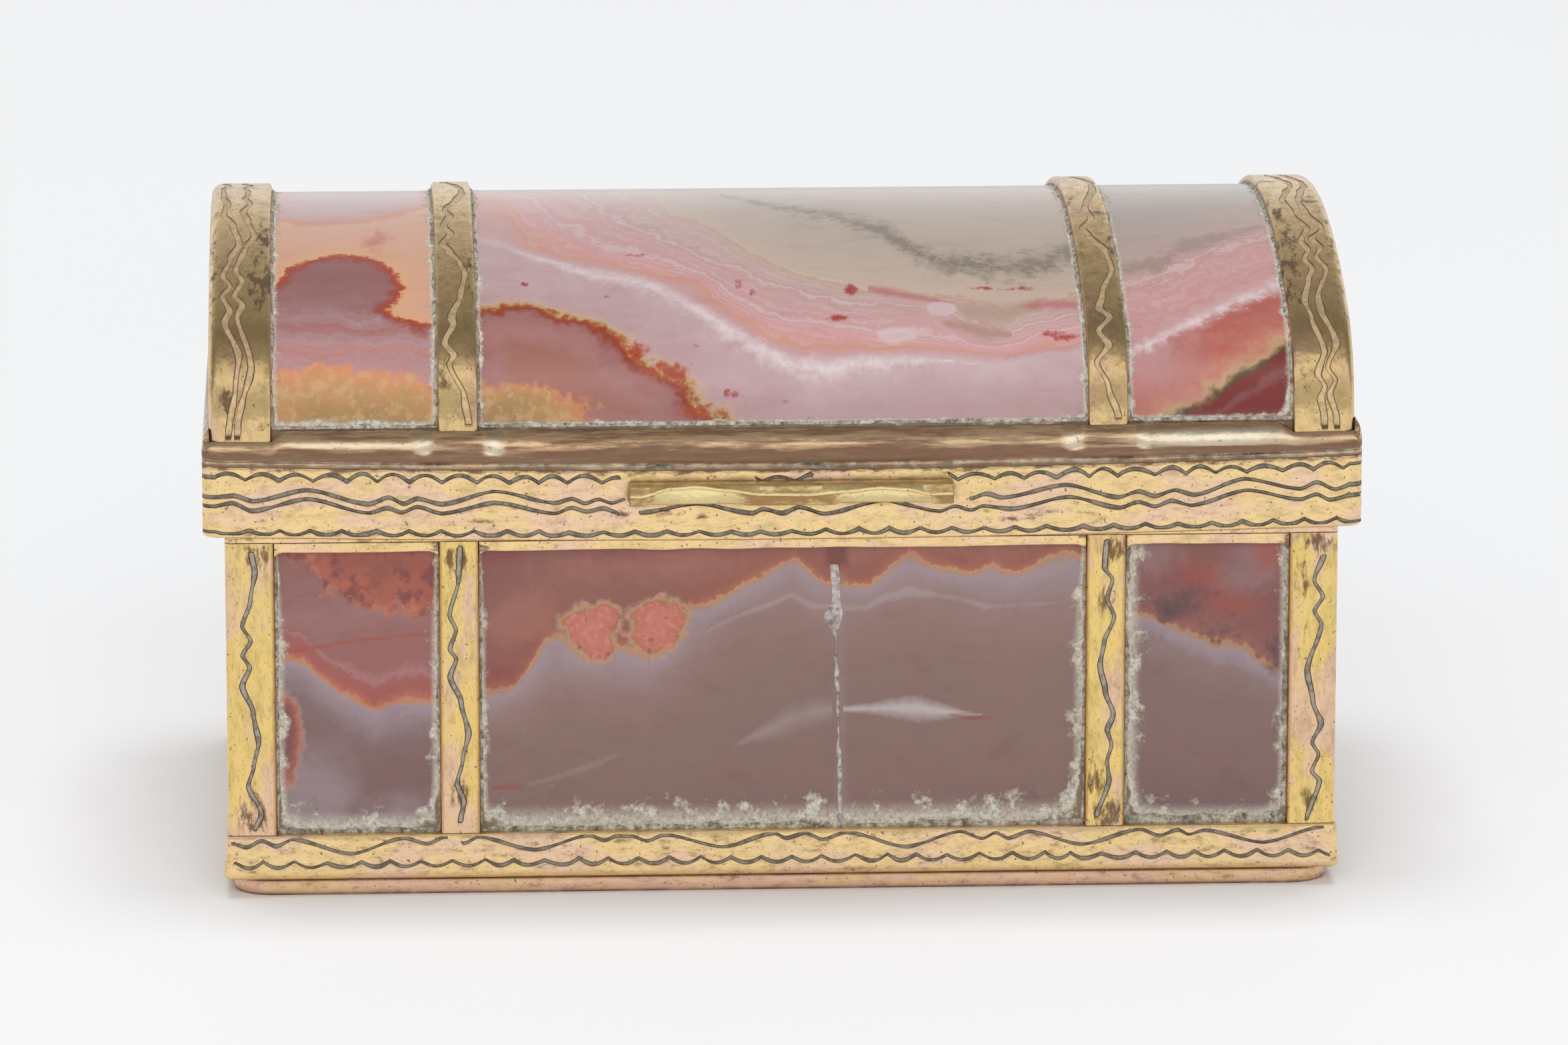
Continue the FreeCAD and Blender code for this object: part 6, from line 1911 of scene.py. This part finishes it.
@dataclass
class Studio:
    """Pale floor, soft light and the camera.

    The room is what the metal mirrors, as angle over the front and brightness; soft is the light all round.
    """

    distance: float = 560.0
    elevation: float = 11.96
    azimuth: float = -2.90
    aim: tuple = (1.13, 0.0, 18.39)
    lens: float = 204.54
    room: tuple = (
        (-180, 0.9), (-30, 0.9), (0, 0.6), (25, 0.6), (35, 1.0), (48, 1.0), (60, 0.36), (90, 0.22), (120, 0.3),
        (145, 0.55), (165, 0.9), (180, 0.95))
    soft: tuple = (0.3, 0.3, 0.305, 1.0)
    lamps: tuple = (
        ("key_box", (-0.4, -2.25, 1.25), (1.8, 1.6), 20.6), ("fill_box", (0.3, -2.25, 1.15), (1.8, 1.6), 16.2),
        ("top_box", (0.0, 0.2, 2.4), (1.4, 1.2), 29.5))

    def camera(self) -> None:
        """Set the camera at the viewing angle of the photograph."""
        rise, turn = math.radians(self.elevation), math.radians(self.azimuth)
        back = Vector((math.sin(turn) * math.cos(rise), -math.cos(turn) * math.cos(rise), math.sin(rise)))
        data = bpy.data.cameras.new("view")
        data.lens = self.lens
        data.sensor_width = 36.0
        data.clip_start = 0.01
        camera = bpy.data.objects.new("view", data)
        camera.location = (Vector(self.aim) + back * self.distance) * MM
        camera.rotation_euler = (-back).to_track_quat("-Z", "Y").to_euler()
        bpy.context.scene.collection.objects.link(camera)
        bpy.context.scene.camera = camera

    def floor(self) -> None:
        """Lay the pale floor."""
        deselect()
        bpy.ops.mesh.primitive_plane_add(size=8.0, location=(0, 2.0, 0))
        obj = bpy.context.object
        obj.name = "studio_floor"
        material, graph = new_material("pale_floor")
        where = graph.place()
        haze = graph.noise(where, 0.004, 2.0)
        colour = graph.ramp(haze, [(0.3, tone(249, 250, 251)), (0.7, tone(251, 252, 253))]).outputs[0]
        graph.surface({"Base Color": colour, "Roughness": 0.6, "Specular IOR Level": 0.2})
        dress(obj, material)

    def lamp(self, name: str, place: tuple, size: tuple, power: float) -> None:
        """Hang one soft box that looks at the casket and isn't mirrored in it."""
        data = bpy.data.lights.new(name, "AREA")
        data.shape = "RECTANGLE"
        data.size, data.size_y = size
        data.energy = power
        lamp = bpy.data.objects.new(name, data)
        lamp.location = place
        lamp.rotation_euler = (Vector((0, 0, 0.02)) - Vector(place)).to_track_quat("-Z", "Y").to_euler()
        lamp.visible_glossy = False
        bpy.context.scene.collection.objects.link(lamp)

    def sky(self) -> None:
        """Surround the casket with a room: a bright box in front, dark above, pale behind."""
        world = bpy.data.worlds.new("studio")
        bpy.context.scene.world = world
        world.use_nodes = True
        graph = Graph(world.node_tree)
        where = graph.add("ShaderNodeTexCoord").outputs["Generated"]
        parts = graph.add("ShaderNodeSeparateXYZ", None, {0: where}).outputs
        over = graph.math("ARCTAN2", parts[2], graph.math("MULTIPLY", parts[1], -1.0))
        stops = [(math.radians(turn), (share, share, share)) for turn, share in self.room]
        room = graph.ramp(over, stops)
        path = graph.add("ShaderNodeLightPath")
        shown = graph.math("MAXIMUM", path.outputs["Is Camera Ray"], path.outputs["Is Glossy Ray"])
        shown = graph.math("MAXIMUM", shown, path.outputs["Is Transmission Ray"])
        colour = graph.blend(shown, self.soft, room.outputs[0])
        back = graph.add("ShaderNodeBackground", None, {"Color": colour, "Strength": 1.0})
        graph.add("ShaderNodeOutputWorld", None, {0: back.outputs[0]})

    def build(self) -> None:
        """Set floor, light and camera."""
        self.floor()
        self.sky()
        for lamp in self.lamps:
            self.lamp(*lamp)
        self.camera()
        bpy.context.scene.view_settings.view_transform = "Standard"


def main() -> None:
    """Build the casket's looks round the CAD frame."""
    logging.basicConfig(level=logging.INFO, format="%(message)s")
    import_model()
    finishes = Finishes()
    book = StoneBook()
    for part in (Frames(finishes), Plinth(finishes), Cage(finishes), Collar(finishes), Bezel(finishes),
                 VaultCage(finishes), WallStone(book), VaultStone(book), Bedding(finishes), Hinge(finishes),
                 Studio()):
        part.build()
        LOG.info("%s done", type(part).__name__)


if __name__ == "__main__":
    main()
